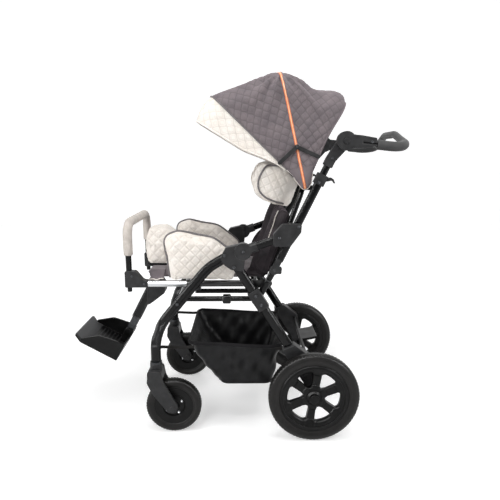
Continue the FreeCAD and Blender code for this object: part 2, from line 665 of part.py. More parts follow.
def handle_arm():
    """Right-hand plastic arm of the handle: a disc with a button well and a sleeve for the tube."""
    x, z = HANDLE_ARM_END
    px, pz = HANDLE_PIVOT
    sleeve = slab([(px, pz + 22), (px + 50, pz + 17), (x, z + 13), (x, z - 13), (px + 60, pz - 22),
                   (px, pz - 24)], [0, 30, 4, 4, 30, 0], HANDLE_IN, HANDLE_OUT, 3)
    arm = sleeve.fuse(disc(HANDLE_PIVOT, HANDLE_DISC_R, HANDLE_IN, HANDLE_OUT)).removeSplitter()
    well_floor = HANDLE_OUT - BUTTON_LENGTH - BUTTON_TRAVEL - RUN_GAP
    well = disc(HANDLE_PIVOT, BUTTON_R + RUN_GAP, well_floor, HANDLE_OUT + 1)
    pin_bore = disc(HANDLE_PIVOT, HANDLE_PIN_R + FIT_GAP, HANDLE_IN - 1,
                    HANDLE_IN + HANDLE_PIN_LENGTH + RUN_GAP)
    points, bends = handle_path(HANDLE_ARM_END[0] - 46)
    room = round_bar(points[:3], bends[:1], HANDLE_TUBE_D + 2 * SOCKET_GAP)
    return arm.cut(well).cut(pin_bore).cut(room)


def handle_bar():
    """Arched tube that joins the two arms."""
    points, bends = handle_path(HANDLE_ARM_END[0] - 46)
    return round_tube(points, bends, HANDLE_TUBE_D - 2, HANDLE_TUBE_D - 6)


def handle_grip():
    """Foam grip on the arched tube."""
    points, bends = handle_path(GRIP_START_X)
    return round_bar(points, bends,
                     GRIP_D).cut(round_bar(points, bends, HANDLE_TUBE_D - 2 + 2 * SOCKET_GAP))


def tilt_button():
    """Right-hand release button in the handle's disc."""
    return disc(HANDLE_PIVOT, BUTTON_R, HANDLE_OUT - BUTTON_LENGTH, HANDLE_OUT + BUTTON_PROUD)


def cross_tubes():
    """Cross tubes between the front legs and between the rear legs."""
    reach = LEG_IN - RUN_GAP
    return Part.makeCompound([disc(point, CROSS_TUBE_D / 2, -reach, reach)
                              for point in (FRONT_CROSS, LINK_FOOT)])


def lower_side_rail():
    """Right-hand rail between the two cross tubes, with a clamp block in the middle."""
    radius = CROSS_TUBE_D / 2 + RUN_GAP
    front, rear = FRONT_CROSS[0] + radius, LINK_FOOT[0] - radius
    z = (FRONT_CROSS[1] + LINK_FOOT[1]) / 2
    rail = Part.makeCylinder(SIDE_RAIL_D / 2, rear - front, V(front, SIDE_RAIL_Y, z), V(1, 0, 0))
    middle = (front + rear) / 2 + 30
    block = slab([(middle - 14, z - 14), (middle - 14, z + 13), (middle + 14, z + 13),
                  (middle + 14, z - 14)], 5, SIDE_RAIL_Y - 12, SIDE_RAIL_Y + 12)
    return rail.fuse(block).removeSplitter()


def rear_leg_joint():
    """Right-hand cover where the link, the cross tube and the rear leg meet."""
    low = step(REAR_LEG_TOP, REAR_LEG_FOOT, 176)
    high = step(REAR_LEG_TOP, REAR_LEG_FOOT, 104)
    cover = strip(low, high, LEG_DEPTH + 6, HOUSING_IN, HOUSING_OUT)
    cross_room = disc(LINK_FOOT, CROSS_TUBE_D / 2 + RUN_GAP, HOUSING_IN - 1, LEG_IN)
    return cover.cut(rear_leg_solid(SOCKET_GAP)).cut(cross_room)


def axle_housing():
    """Right-hand block that holds the axle and the brake bar on the rear leg's foot."""
    ax, az = REAR_AXLE_X, REAR_AXLE_Z
    high = step(REAR_LEG_FOOT, REAR_LEG_TOP, 128)
    bx, bz = BRAKE_BAR
    body = slab([(high[0] - 22, high[1] - 10), (high[0] + 20, high[1] + 8), (bx + 14, bz + 12),
                 (bx + 16, bz - 10), (ax + 22, az + 10), (ax + 14, az - 22), (ax - 16, az - 18),
                 (ax - 30, az + 30)], [6, 8, 8, 8, 14, 14, 14, 20], HOUSING_IN, LEG_OUT + 13, 2)
    axle_room = disc((ax, az), REAR_AXLE_D / 2 + FIT_GAP, HOUSING_IN - 1, LEG_OUT + 14)
    bar_room = disc(BRAKE_BAR, BRAKE_BAR_D / 2 + FIT_GAP, HOUSING_IN - 1, LEG_OUT + 14)
    return body.cut(rear_leg_solid(SOCKET_GAP)).cut(axle_room).cut(bar_room)


def rear_axle():
    """Through axle with a cap on the outside of each rear wheel."""
    centre = (REAR_AXLE_X, REAR_AXLE_Z)
    end = REAR_WHEEL_Y + 20 + RUN_GAP
    axle = disc(centre, REAR_AXLE_D / 2, -end, end)
    for face in (end, -end - 5):
        axle = axle.fuse(disc(centre, 15, face, face + 5))
    return axle.removeSplitter()


def brake_bar():
    """Cross bar with a foot pedal in the middle and a locking arm beside each wheel."""
    x, z = BRAKE_BAR
    reach = LEG_OUT + 21
    bar = disc(BRAKE_BAR, BRAKE_BAR_D / 2, -reach, reach)
    pedal = slab([(x, z + 5), (x + 58, z + 16), (x + 60, z + 8), (x, z - 5)], [0, 3, 3, 0],
                 -PEDAL_WIDTH / 2, PEDAL_WIDTH / 2)
    bar = bar.fuse(pedal)
    for y0 in (reach - 6, -reach):
        bar = bar.fuse(strip(BRAKE_BAR, (x + 16, z - 34), 12, y0, y0 + 6))
    return bar.removeSplitter()


def seat_rail():
    """Right-hand seat rail with the plate and pin of the backrest welded to its rear end."""
    length = RAIL_REAR_X - RAIL_FRONT_X
    start = V(RAIL_FRONT_X, RAIL_Y, RAIL_Z)
    outer = Part.makeCylinder(RAIL_D / 2, length, start, V(1, 0, 0)).fuse(recline_bracket())
    bore = Part.makeCylinder(RAIL_D / 2 - LEG_WALL, length, start, V(1, 0, 0))
    return outer.removeSplitter().cut(bore)


def seat_underframe():
    """Round front bar that the leg rest turns on, two flat bars and the two slides below."""
    reach = RAIL_IN - FIT_GAP
    slide_z = LINK_FOOT[1] + CROSS_TUBE_D / 2 + RUN_GAP + SLIDE_D / 2
    front_reach = RAIL_Y - SOCKET_WIDTH / 2 - RUN_GAP
    bars = [disc((LEGREST_HINGE_X, RAIL_Z), LEGREST_BAR_D / 2, -front_reach, front_reach)]
    low, high = slide_z + SLIDE_D / 2 + RUN_GAP, CUSHION_LOW - 0.5
    for x in (-180.0, 6.0):
        bars.append(slab([(x, low), (x, high), (x + SEAT_BAR_THICK, high), (x + SEAT_BAR_THICK, low)], 0,
                         -reach, reach))
    for sign in (-1, 1):
        start = V(-186, sign * SLIDE_Y, slide_z)
        bars.append(Part.makeCylinder(SLIDE_D / 2, LINK_FOOT[0] + 186, start, V(1, 0, 0)))
    return Part.makeCompound(bars)


def recline_bracket():
    """Right-hand plate on the seat rail's rear end, with the pin of the backrest."""
    x, z = BACK_HINGE
    y0 = RAIL_Y + BACK_TUBE_D / 2 + RUN_GAP
    y1 = y0 + HINGE_PLATE
    plate = slab([(x - 62, RAIL_Z - 10), (x - 62, RAIL_Z + 10), (x + 3, z + 17), (x + 17, z),
                  (x + 3, z - 17)], [5, 5, 12, 10, 12], y0, y1)
    foot_end = RAIL_REAR_X - HINGE_FOOT
    foot = slab([(x - 56, RAIL_Z - HINGE_FOOT), (x - 56, RAIL_Z + HINGE_FOOT),
                 (foot_end, RAIL_Z + HINGE_FOOT), (foot_end, RAIL_Z - HINGE_FOOT)], 0, RAIL_Y, y0)
    pin = disc(BACK_HINGE, 5, RAIL_Y - BACK_TUBE_D / 2, y1)
    return plate.fuse(foot).fuse(pin).removeSplitter()


def back_point(rise, lean):
    """Side view point in the backrest's own plane: up along it, and forwards off it."""
    length = math.dist(BACK_HINGE, BACK_TOP)
    ux, uz = (BACK_TOP[0] - BACK_HINGE[0]) / length, (BACK_TOP[1] - BACK_HINGE[1]) / length
    return (BACK_HINGE[0] + rise * ux - lean * uz, BACK_HINGE[1] + rise * uz + lean * ux)


def back_frame():
    """Backrest hoop with an eye at each foot."""
    foot, top = at(BACK_HINGE, RAIL_Y), at(BACK_TOP, RAIL_Y)
    points = [foot, top, V(top.x, -RAIL_Y, top.z), V(foot.x, -RAIL_Y, foot.z)]
    hoop = round_bar(points, [BACK_BEND, BACK_BEND], BACK_TUBE_D)
    for y in (RAIL_Y, -RAIL_Y):
        hoop = hoop.fuse(disc(BACK_HINGE, 12, y - 8.5, y + 8.5))
    hoop = hoop.removeSplitter()
    for y in (RAIL_Y, -RAIL_Y):
        hoop = hoop.cut(disc(BACK_HINGE, 5 + FIT_GAP, y - BACK_TUBE_D, y + BACK_TUBE_D))
    return hoop


def back_pad():
    """Crowned pad on the front of the backrest hoop."""
    near = BACK_TUBE_D / 2 + 0.5
    far = near + BACK_PAD_THICK
    rows = [(back_point(BACK_PAD_LOW, near), 6), (back_point(BACK_PAD_HIGH, near), 6),
            (back_point(BACK_PAD_HIGH, far), 15), (back_point(BACK_PAD_LOW, far), 15)]
    return flat_back_loft(rows, BACK_PAD_WIDTH / 2, back_point(0, 1))


def flat_back_loft(rows, half_width, lean_point):
    """Pad that keeps its back flat and swells towards the middle on its front."""
    normal = (at(lean_point, 0) - at(BACK_HINGE, 0)).normalize()
    base = at(rows[0][0], 0)
    wires = []
    for share, height in ((-1, 0.55), (-0.9, 0.82), (-0.6, 0.96), (0, 1.0), (0.6, 0.96), (0.9, 0.82),
                          (1, 0.55)):
        points = []
        for point, radius in rows:
            spot = at(point, 0)
            depth = (spot - base).dot(normal)
            points.append(spot - normal * (depth * (1 - height)) + ACROSS * (half_width * share))
        wires.append(outline(points, [radius * height for point, radius in rows]))
    return Part.makeLoft(wires, True, False)


def seat_cushion():
    """Crowned seat cushion on the seat bars."""
    low = CUSHION_LOW
    rows = [((CUSHION_REAR_X, low), 8), ((CUSHION_FRONT_X, low), 10),
            ((CUSHION_FRONT_X, CUSHION_TOP - 2), 11), ((CUSHION_REAR_X, CUSHION_TOP), 8)]
    wires = []
    half_width = GUARD_IN - GUARD_CLEAR
    for share, height in ((-1, 0.6), (-0.9, 0.86), (-0.6, 0.97), (0, 1.0), (0.6, 0.97), (0.9, 0.86),
                          (1, 0.6)):
        points = [V(x, half_width * share, low + (z - low) * height) for (x, z), radius in rows]
        wires.append(outline(points, [radius * height for point, radius in rows]))
    return Part.makeLoft(wires, True, False)


def side_guard():
    """Right-hand padded side guard on the seat rail."""
    low = RAIL_TOP + 0.3
    points = [(-52, low), (-34, 606), (-120, 676), (-236, 700), (-286, 682), (-280, 600), (-272, low)]
    return pad(points, [14, 34, 60, 30, 34, 30, 14], GUARD_IN, GUARD_OUT, PAD_LEVELS)


def pommel():
    """Padded block at the front of the seat."""
    points = [(-284, CUSHION_TOP - 1.2), (-262, 664), (-300, 694), (-362, 690), (-378, 640),
              (-374, CUSHION_TOP - 1.2)]
    return pad(points, [16, 26, 26, 26, 30, 22], -POMMEL_WIDTH / 2, POMMEL_WIDTH / 2, PAD_LEVELS)


def headrest():
    """Winged headrest: a U-shaped pad with rounded wings."""
    near = BACK_TUBE_D / 2 + HEADREST_PLATE + 1.0
    half = HEADREST_WIDTH / 2
    corner_r = 46.0
    centre_lean = near + WING_THICK / 2
    rise = HEADREST_LOW - 4
    ends = [at(back_point(rise, HEADREST_DEPTH + 4), half - WING_THICK / 2),
            at(back_point(rise, centre_lean), half - WING_THICK / 2)]
    path = ends + [V(point.x, -point.y, point.z) for point in reversed(ends)]
    upward = at(back_point(1, 0), 0) - at(BACK_HINGE, 0)
    height = HEADREST_HIGH - HEADREST_LOW + 8
    side = ACROSS * (WING_THICK / 2)
    rise_by = upward * height
    start = path[0]
    section = outline([start - side, start + side, start + side + rise_by, start - side + rise_by], 0)
    ring = rounded_path(path, [corner_r, corner_r]).makePipeShell([section], True, False)
    profile = [back_point(HEADREST_LOW + 6, near), back_point(HEADREST_LOW, 100),
               back_point(HEADREST_LOW + 10, 142), back_point(HEADREST_LOW + 52, HEADREST_DEPTH),
               back_point(HEADREST_HIGH - 34, HEADREST_DEPTH - 8), back_point(HEADREST_HIGH, 60),
               back_point(HEADREST_HIGH, near)]
    wing = slab(profile, [8, 40, 26, 34, 30, 40, 8], -half, half)
    return ring.common(wing)


def headrest_plate():
    """Carrier plate behind the headrest, which slides in front of the hoop."""
    near = BACK_TUBE_D / 2 + 0.4
    rise = (HEADREST_LOW + 44, HEADREST_HIGH - 14)
    points = [back_point(rise[0], near), back_point(rise[1], near),
              back_point(rise[1], near + HEADREST_PLATE), back_point(rise[0], near + HEADREST_PLATE)]
    return slab(points, 0, -60, 60)


def bow_section(degrees, radius, half_width, thickness):
    """Closed U-shaped section of the hood's cloth in the plane of a bow."""
    ray = at(polar((0, 0), degrees, 1), 0)
    centre = at(HOOD_PIVOT, 0)

    def spot(r, y):
        return centre + ray * r + ACROSS * y

    def run(r, half, round_r):
        side = round_r * (1 - math.sqrt(0.5))
        return [Part.LineSegment(spot(HOOD_START_R, half), spot(r - round_r, half)).toShape(),
                Part.Arc(spot(r - round_r, half), spot(r - side, half - side),
                         spot(r, half - round_r)).toShape(),
                Part.Arc(spot(r, half - round_r), spot(r + HOOD_CROWN, 0),
                         spot(r, round_r - half)).toShape(),
                Part.Arc(spot(r, round_r - half), spot(r - side, side - half),
                         spot(r - round_r, -half)).toShape(),
                Part.LineSegment(spot(r - round_r, -half), spot(HOOD_START_R, -half)).toShape(),]

    outer = run(radius, half_width, HOOD_CORNER)
    inner = run(radius - thickness, half_width - thickness, HOOD_CORNER - thickness)
    ends = [Part.LineSegment(spot(HOOD_START_R, side * half_width),
                             spot(HOOD_START_R,
                                  side * (half_width - thickness))).toShape() for side in (-1, 1)]
    return Part.Wire(Part.sortEdges(outer + inner + ends)[0])


def hood_panel(sections):
    """Cloth of the hood between two bows."""
    return Part.makeLoft([bow_section(angle, radius, HOOD_HALF_WIDTH, CLOTH) for angle, radius in sections],
                         True, False)


def hood_rear_panel():
    """Rear of the hood, which sags between the rear bow and the middle bow."""
    return hood_panel([REAR_BOW, (75.0, 313.0), (83.5, 314.0), (92.5, 348.0),
                       (MID_BOW[0] - SEAM_GAP, MID_BOW[1])])


def hood_front_panel():
    """Front of the hood between the middle bow and the seam of the visor."""
    return hood_panel([(MID_BOW[0] + SEAM_GAP, MID_BOW[1]), (112.0, 374.0), (121.0, 382.0), (129.0, 400.0),
                       (FRONT_BOW[0] - SEAM_GAP, FRONT_BOW[1])])


def hood_visor():
    """Pale visor in front of the front bow."""
    return hood_panel([(FRONT_BOW[0] + SEAM_GAP, FRONT_BOW[1]), (143.0, 424.0), VISOR_EDGE])


def hood_bow(bow, layer):
    """Wire bow under the cloth, with a flat eye on the hood's pin at each end."""
    degrees, radius = bow
    eye_out = HOOD_HALF_WIDTH - CLOTH - RUN_GAP - layer * EYE_STEP
    leg_y = HOOD_HALF_WIDTH - CLOTH - RUN_GAP - BOW_D / 2 - layer * EYE_STEP
    reach = radius - CLOTH - BOW_D / 2 - 1.0
    foot, top = at(polar(HOOD_PIVOT, degrees, EYE_LENGTH - 6),
                   leg_y), at(polar(HOOD_PIVOT, degrees, reach), leg_y)
    points = [foot, top, V(top.x, -leg_y, top.z), V(foot.x, -leg_y, foot.z)]
    wire = round_bar(points, [HOOD_CORNER, HOOD_CORNER], BOW_D)
    for side in (1, -1):
        y0, y1 = sorted((side * eye_out, side * (eye_out - EYE_THICK)))
        eye = strip(HOOD_PIVOT, polar(HOOD_PIVOT, degrees, EYE_LENGTH), EYE_WIDTH, y0, y1)
        eye = eye.fuse(disc(HOOD_PIVOT, 8, y0, y1))
        wire = wire.fuse(eye)
    wire = wire.removeSplitter()
    return wire.cut(disc(HOOD_PIVOT, HOOD_PIN_R + FIT_GAP, -HOOD_HALF_WIDTH, HOOD_HALF_WIDTH))


def hood_bracket():
    """Right-hand bracket on the upright, with the pin of the hood's bows."""
    inner = HOOD_HALF_WIDTH - CLOTH - RUN_GAP - 3 * EYE_STEP
    seat = step(ELBOW, CLAMP, math.dist(ELBOW, CLAMP) * (HOOD_PIVOT[1] - ELBOW[1]) / (CLAMP[1] - ELBOW[1]))
    plate = strip(HOOD_PIVOT, seat, 16, inner - 2.4, inner)
    plate = plate.fuse(disc(HOOD_PIVOT, 8, inner - 2.4, inner))
    boss = disc(seat, 8, inner - 2.4, UPRIGHT_IN + UPRIGHT_WALL / 2)
    pin = disc(HOOD_PIVOT, HOOD_PIN_R, inner, HOOD_HALF_WIDTH - CLOTH - RUN_GAP)
    return plate.fuse(boss).fuse(pin).removeSplitter()


def stay_rear_arm():
    """Right-hand rear arm of the hood's stay, with the knuckle pin."""
    y0 = STAY_IN
    arm = strip(STAY_REAR_END, STAY_KNUCKLE, STAY_WIDTH, y0, y0 + STAY_THICK)
    arm = arm.fuse(disc(STAY_REAR_END, STAY_WIDTH / 2, y0, y0 + STAY_THICK))
    arm = arm.fuse(disc(STAY_KNUCKLE, STAY_WIDTH / 2 + 1, y0, y0 + STAY_THICK))
    pin = disc(STAY_KNUCKLE, 2.5, y0, y0 + 2 * STAY_THICK + 1.5)
    return arm.fuse(pin).removeSplitter()


def stay_front_arm():
    """Right-hand front arm of the hood's stay."""
    y0 = STAY_IN + STAY_THICK + RUN_GAP
    arm = strip(STAY_KNUCKLE, STAY_FRONT_END, STAY_WIDTH, y0, y0 + STAY_THICK)
    arm = arm.fuse(disc(STAY_KNUCKLE, STAY_WIDTH / 2 + 1, y0, y0 + STAY_THICK))
    arm = arm.fuse(disc(STAY_FRONT_END, STAY_WIDTH / 2, STAY_IN, y0 + STAY_THICK)).removeSplitter()
    return arm.cut(disc(STAY_KNUCKLE, 2.5 + FIT_GAP, y0 - 1, y0 + STAY_THICK + 1))


def bumper_socket():
    """Right-hand socket on the front of the seat rail for the grab bar's post."""
    x, z = BUMPER_X, RAIL_Z
    body = slab([(x - 13, z - 11), (x - 13, SOCKET_TOP), (x + 24, SOCKET_TOP), (x + 48, z + 15),
                 (x + 64, z + 12), (x + 64, z - 11)], [4, 6, 12, 14, 3, 4], RAIL_Y - SOCKET_WIDTH / 2,
                RAIL_Y + SOCKET_WIDTH / 2, 2)
    bore = Part.makeCylinder(BUMPER_PIN_D / 2 + FIT_GAP, 90, V(x, RAIL_Y, z - 20), UP)
    room = Part.makeCylinder(RAIL_D / 2 + SOCKET_GAP, 60, V(RAIL_FRONT_X - SOCKET_GAP, RAIL_Y, z),
                             V(1, 0, 0))
    return body.cut(bore).cut(room)


def bumper_points(low):
    """Centre line of the grab bar from a height on one side to the same on the other."""
    top = BUMPER_TOP - BUMPER_FOAM_D / 2
    right = [V(BUMPER_X, RAIL_Y, low), V(BUMPER_X, RAIL_Y, top)]
    return right + [V(point.x, -point.y, point.z) for point in reversed(right)]


def bumper_bar():
    """Grab bar: an upside-down U with a thinner pin at each foot."""
    bar = round_bar(bumper_points(SOCKET_TOP + RUN_GAP), [BUMPER_BEND, BUMPER_BEND], BUMPER_TUBE_D)
    for y in (RAIL_Y, -RAIL_Y):
        bar = bar.fuse(Part.makeCylinder(BUMPER_PIN_D / 2, SOCKET_TOP + 6 - PIN_LOW,
                                         V(BUMPER_X, y, PIN_LOW), UP))
    return bar.removeSplitter()


def bumper_foam():
    """Foam sleeve on the grab bar."""
    points = bumper_points(BUMPER_FOAM_LOW)
    bends = [BUMPER_BEND, BUMPER_BEND]
    return round_tube(points, bends, BUMPER_FOAM_D, BUMPER_TUBE_D + 2 * SOCKET_GAP)


def legrest_bracket():
    """Housing that turns on the front bar and holds the hanger."""
    hinge = (LEGREST_HINGE_X, RAIL_Z)
    half = HANGER_WIDTH / 2 + 8
    body = slab([(hinge[0] - 10, hinge[1] - 6), (hinge[0] + 10, hinge[1] - 2),
                 (hinge[0] + 34, hinge[1] - 44), (hinge[0] + 33, hinge[1] - 72),
                 (hinge[0] - 8, hinge[1] - 104), down_hanger(78, -17), down_hanger(-6, 21)],
                [0, 0, 8, 14, 10, 6, 6], -half, half)
    body = body.fuse(disc(hinge, 12, -half, half)).removeSplitter()
    body = body.cut(disc(hinge, LEGREST_BAR_D / 2 + FIT_GAP, -half - 1, half + 1))
    return body.cut(hanger_solid(SOCKET_GAP, 0))


def hanger_solid(gap, wall):
    """Box-section room of the hanger, widened by a gap or thinned by a wall."""
    half = HANGER_DEPTH / 2 + gap - wall
    points = [down_hanger(0, -half), down_hanger(0, half), down_hanger(HANGER_LENGTH, half),
              down_hanger(HANGER_LENGTH, -half)]
    return slab(points, 0, -HANGER_WIDTH / 2 - gap + wall, HANGER_WIDTH / 2 + gap - wall)


def legrest_hanger():
    """Outer box tube of the leg rest."""
    return hanger_solid(0, 0).cut(hanger_solid(0, HANGER_WALL))


def legrest_slider():
    """Inner bar of the leg rest, toothed behind, with a round end for the footplate."""
    half = HANGER_DEPTH / 2 - HANGER_WALL - RUN_GAP
    y = HANGER_WIDTH / 2 - HANGER_WALL - RUN_GAP
    low, high = HANGER_LENGTH + SLIDER_OUT, HANGER_LENGTH - SLIDER_IN
    bar = slab([down_hanger(high, -half), down_hanger(high, half), down_hanger(low, half),
                down_hanger(low, -half)], 0, -y, y)
    pivot = down_hanger(low)
    bar = bar.fuse(disc(pivot, half, -y, y)).removeSplitter()
    for number in range(RACK_TEETH):
        spot = down_hanger(HANGER_LENGTH + 6 + number * RACK_PITCH, -half)
        bar = bar.cut(disc(spot, RACK_PITCH / 4, -y, y))
    return bar.cut(disc(pivot, 5 + FIT_GAP, -y - 1, y + 1))


def sole_point(forward, rise):
    """Side view point in the footplate's own plane, counted from the heel's lowest corner."""
    angle = math.radians(SOLE_ANGLE)
    cos, sin = math.cos(angle), math.sin(angle)
    forward, rise = forward - HEEL_BACK, rise - HEEL_DROP
    return (FOOT_PIVOT[0] - forward * cos + rise * sin, FOOT_PIVOT[1] + forward * sin + rise * cos)


def footplate():
    """Tray for the feet with a turned-up toe, two wings and the ears of its pivot."""
    half = FOOTPLATE_WIDTH / 2
    wall = FOOTPLATE_WALL
    toe = SOLE_LENGTH + TOE_LENGTH
    sole = slab([sole_point(*spot)
                 for spot in ((-wall, 0), (SOLE_LENGTH, 0), (toe, TOE_RISE), (toe - 4, TOE_RISE + 5),
                              (SOLE_LENGTH - 2, wall), (-wall, wall))], [3, 30, 2, 2, 24, 0], -half, half)
    heel = slab([sole_point(*spot)
                 for spot in ((-wall, 0), (0, 0), (0, WING_HEIGHT), (-wall, WING_HEIGHT))], [3, 0, 2, 2],
                -half, half)
    tray = sole.fuse(heel)
    wing = [sole_point(*spot) for spot in ((-wall, 0), (SOLE_LENGTH, 0), (SOLE_LENGTH + 3, 14), (92, 56),
                                           (24, WING_HEIGHT + 2), (-wall, WING_HEIGHT))]
    ear = [sole_point(*spot) for spot in ((-wall, WING_HEIGHT - 26), (22, WING_HEIGHT - 26),
                                          (24, HEEL_DROP + 14), (-10, HEEL_DROP + 14))]
    ear_in = HANGER_WIDTH / 2 - HANGER_WALL
    for side in (-1, 1):
        y0, y1 = sorted((side * (half - wall), side * half))
        tray = tray.fuse(slab(wing, [3, 8, 3, 30, 12, 2], y0, y1))
        y0, y1 = sorted((side * ear_in, side * (ear_in + 8)))
        tray = tray.fuse(slab(ear, [0, 4, 10, 10], y0, y1))
    tray = tray.fuse(disc(FOOT_PIVOT, 5, -ear_in - 8, ear_in + 8))
    return tray.removeSplitter()


def basket_wire(top_x, z, half_width, corner_r):
    """Rounded rectangle of the basket at a height."""
    front, rear = top_x
    points = [V(front, -half_width, z), V(rear, -half_width, z), V(rear, half_width, z),
              V(front, half_width, z)]
    return outline(points, corner_r)


def basket():
    """Cloth basket: an open shell that narrows to its floor."""
    def shell(inset, floor):
        middle = (BASKET_TOP + floor) / 2
        rows = []
        for z, share in ((floor, 0.0), (middle, 0.62), (BASKET_TOP, 1.0)):
            front = BASKET_FLOOR_X[0] + (BASKET_TOP_X[0] - BASKET_FLOOR_X[0]) * share + inset
            rear = BASKET_FLOOR_X[1] + (BASKET_TOP_X[1] - BASKET_FLOOR_X[1]) * share - inset
            half = BASKET_HALF_WIDTH - BASKET_FLOOR_INSET * (1 - share) - inset
            rows.append(basket_wire((front, rear), z, half, 30 - inset))
        return Part.makeLoft(rows, True, False)
    return shell(0, BASKET_FLOOR).cut(shell(CLOTH + 0.5, BASKET_FLOOR + CLOTH + 0.5))


def basket_straps():
    """Short straps from the basket's top corners to the legs."""
    width, thick = STRAP
    straps = []
    z0 = BASKET_TOP - 4 - width
    front_leg_x = LEG_FOOT[0] + (LEG_DEPTH - LEG_WIDTH) / 2
    for start_x, end_x, face in ((BASKET_TOP_X[0] + 40, front_leg_x, LEG_IN),
                                 (BASKET_TOP_X[1] - 40, STRAP_REAR_X, HOUSING_IN)):
        low, high = sorted((start_x, end_x))
        run = Part.makeBox(high - low, thick, width, V(low, BASKET_HALF_WIDTH + 0.5, z0))
        tab_x = end_x if end_x < start_x else end_x - thick
        tab = Part.makeBox(thick, face - BASKET_HALF_WIDTH - 0.8, width,
                           V(tab_x, BASKET_HALF_WIDTH + 0.5, z0))
        straps.append(run.fuse(tab).removeSplitter())
    return straps


def bolt_head(point, face):
    """Bolt head on an outer face."""
    return disc(point, BOLT_HEAD_R, face, face + BOLT_HEAD_HEIGHT)


def frame_fasteners():
    """Bolts of the frame's fixed joints, the shoulder pins and the bright caster washers."""
    head_face = HOUSING_OUT + RUN_GAP
    shoulder = disc(SHOULDER, BOLT_R, HOUSING_IN, head_face).fuse(bolt_head(SHOULDER, head_face))
    spots = [(SHOULDER[0] - 30, SHOULDER[1] - 52), (SHOULDER[0] - 60, SHOULDER[1] - 12)]
    joint_spots = [step(REAR_LEG_TOP, REAR_LEG_FOOT, distance) for distance in (122, 158)]
    heads = [bolt_head(spot, HOUSING_OUT) for spot in spots + joint_spots]
    heads.append(bolt_head(FRONT_CROSS, LEG_OUT))
    washer = Part.makeCylinder(20, WASHER_HEIGHT, V(SWIVEL_X, LEG_Y, FORK_TOP + RUN_GAP), UP)
    washer = washer.cut(Part.makeCylinder(STEM_D / 2 + FIT_GAP, WASHER_HEIGHT,
                                          V(SWIVEL_X, LEG_Y, FORK_TOP + RUN_GAP), UP))
    return [shoulder.removeSplitter(), washer] + heads


def build():
    """All pieces by node name, still counted from the datum."""
    rear_tyre, rear_rim = rear_wheel()
    front_tyre, front_rim = front_wheel()
    fork = caster_fork()
    button = tilt_button()
    nodes = {}
    for name, shape in (("rear_tyre", rear_tyre), ("rear_rim", rear_rim), ("front_tyre", front_tyre),
                        ("front_rim", front_rim), ("caster_fork", fork), ("tilt_button", button)):
        nodes["right_" + name] = shape
        nodes["left_" + name] = mirrored(shape)
    nodes.update({
        "front_legs": both(front_leg()),
        "rear_legs": both(rear_leg()),
        "shoulder_housings": both(shoulder_housing()),
        "rear_leg_joints": both(rear_leg_joint()),
        "axle_housings": both(axle_housing()),
        "rear_axle": rear_axle(),
        "cross_tubes": cross_tubes(),
        "lower_side_rails": both(lower_side_rail()),
        "seat_rails": both(seat_rail()),
        "seat_underframe": seat_underframe(),
        "seat_cushion": seat_cushion(),
        "pommel": pommel(),
        "bumper_sockets": both(bumper_socket()),
        "side_guards": both(side_guard()),
        "basket": Part.makeCompound([basket()] + both(*basket_straps()).Solids),
        "frame_fasteners": both(*frame_fasteners()),
        "armrest_tubes": both(armrest_tube()),
        "armrest_ends": both(armrest_end()),
        "rear_joint_covers": both(rear_joint_cover()),
        "lower_links": both(lower_link()),
        "uprights": both(upright()),
        "elbow_blocks": both(elbow_block()),
        "height_clamps": both(height_clamp()),
        "clamp_levers": both(clamp_lever()),
        "handle_posts": both(handle_post()),
        "handle_bases": both(handle_base()),
        "handle_arms": both(handle_arm()),
        "handle_bar": handle_bar(),
        "handle_grip": handle_grip(),
        "hood_rear_bow": hood_bow(REAR_BOW, 0),
        "hood_middle_bow": hood_bow(MID_BOW, 1),
        "hood_front_bow": hood_bow(FRONT_BOW, 2),
        "hood_rear_panel": hood_rear_panel(),
        "hood_front_panel": hood_front_panel(),
        "hood_visor": hood_visor(),
        "stay_rear_arms": both(stay_rear_arm()),
        "stay_front_arms": both(stay_front_arm()),
        "back_frame": back_frame(),
        "back_pad": back_pad(),
        "headrest": headrest(),
        "headrest_plate": headrest_plate(),
        "legrest_bracket": legrest_bracket(),
        "legrest_hanger": legrest_hanger(),
        "legrest_slider": legrest_slider(),
        "footplate": footplate(),
        "bumper_bar": bumper_bar(),
        "bumper_foam": bumper_foam(),
        "brake_bar": brake_bar(),
    })
    return nodes


def main():
    """Centre the whole stroller over its origin and write one file for each piece."""
    os.makedirs("parts", exist_ok=True)
    nodes = build()
    boxes = [shape.optimalBoundingBox() for shape in nodes.values()]
    shift = -(min(box.XMin for box in boxes) + max(box.XMax for box in boxes)) / 2
    print("shift", round(shift, 4), "nodes", len(nodes))
    for name, shape in nodes.items():
        shape.translate(V(shift, 0, 0))
        valid = shape.isValid()
        print(name, len(shape.Solids), "valid" if valid else "NOT VALID", round(shape.Volume / 1000, 1),
              "cm3")
        shape.exportStep("parts/" + name + ".step")


main()
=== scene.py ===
"""Looks of a folding special needs stroller: finishes, quilted cloth, padding and trim round its frame."""
import json
import math

import bmesh
import bpy
import numpy as np
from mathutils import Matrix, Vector
from mathutils.bvhtree import BVHTree


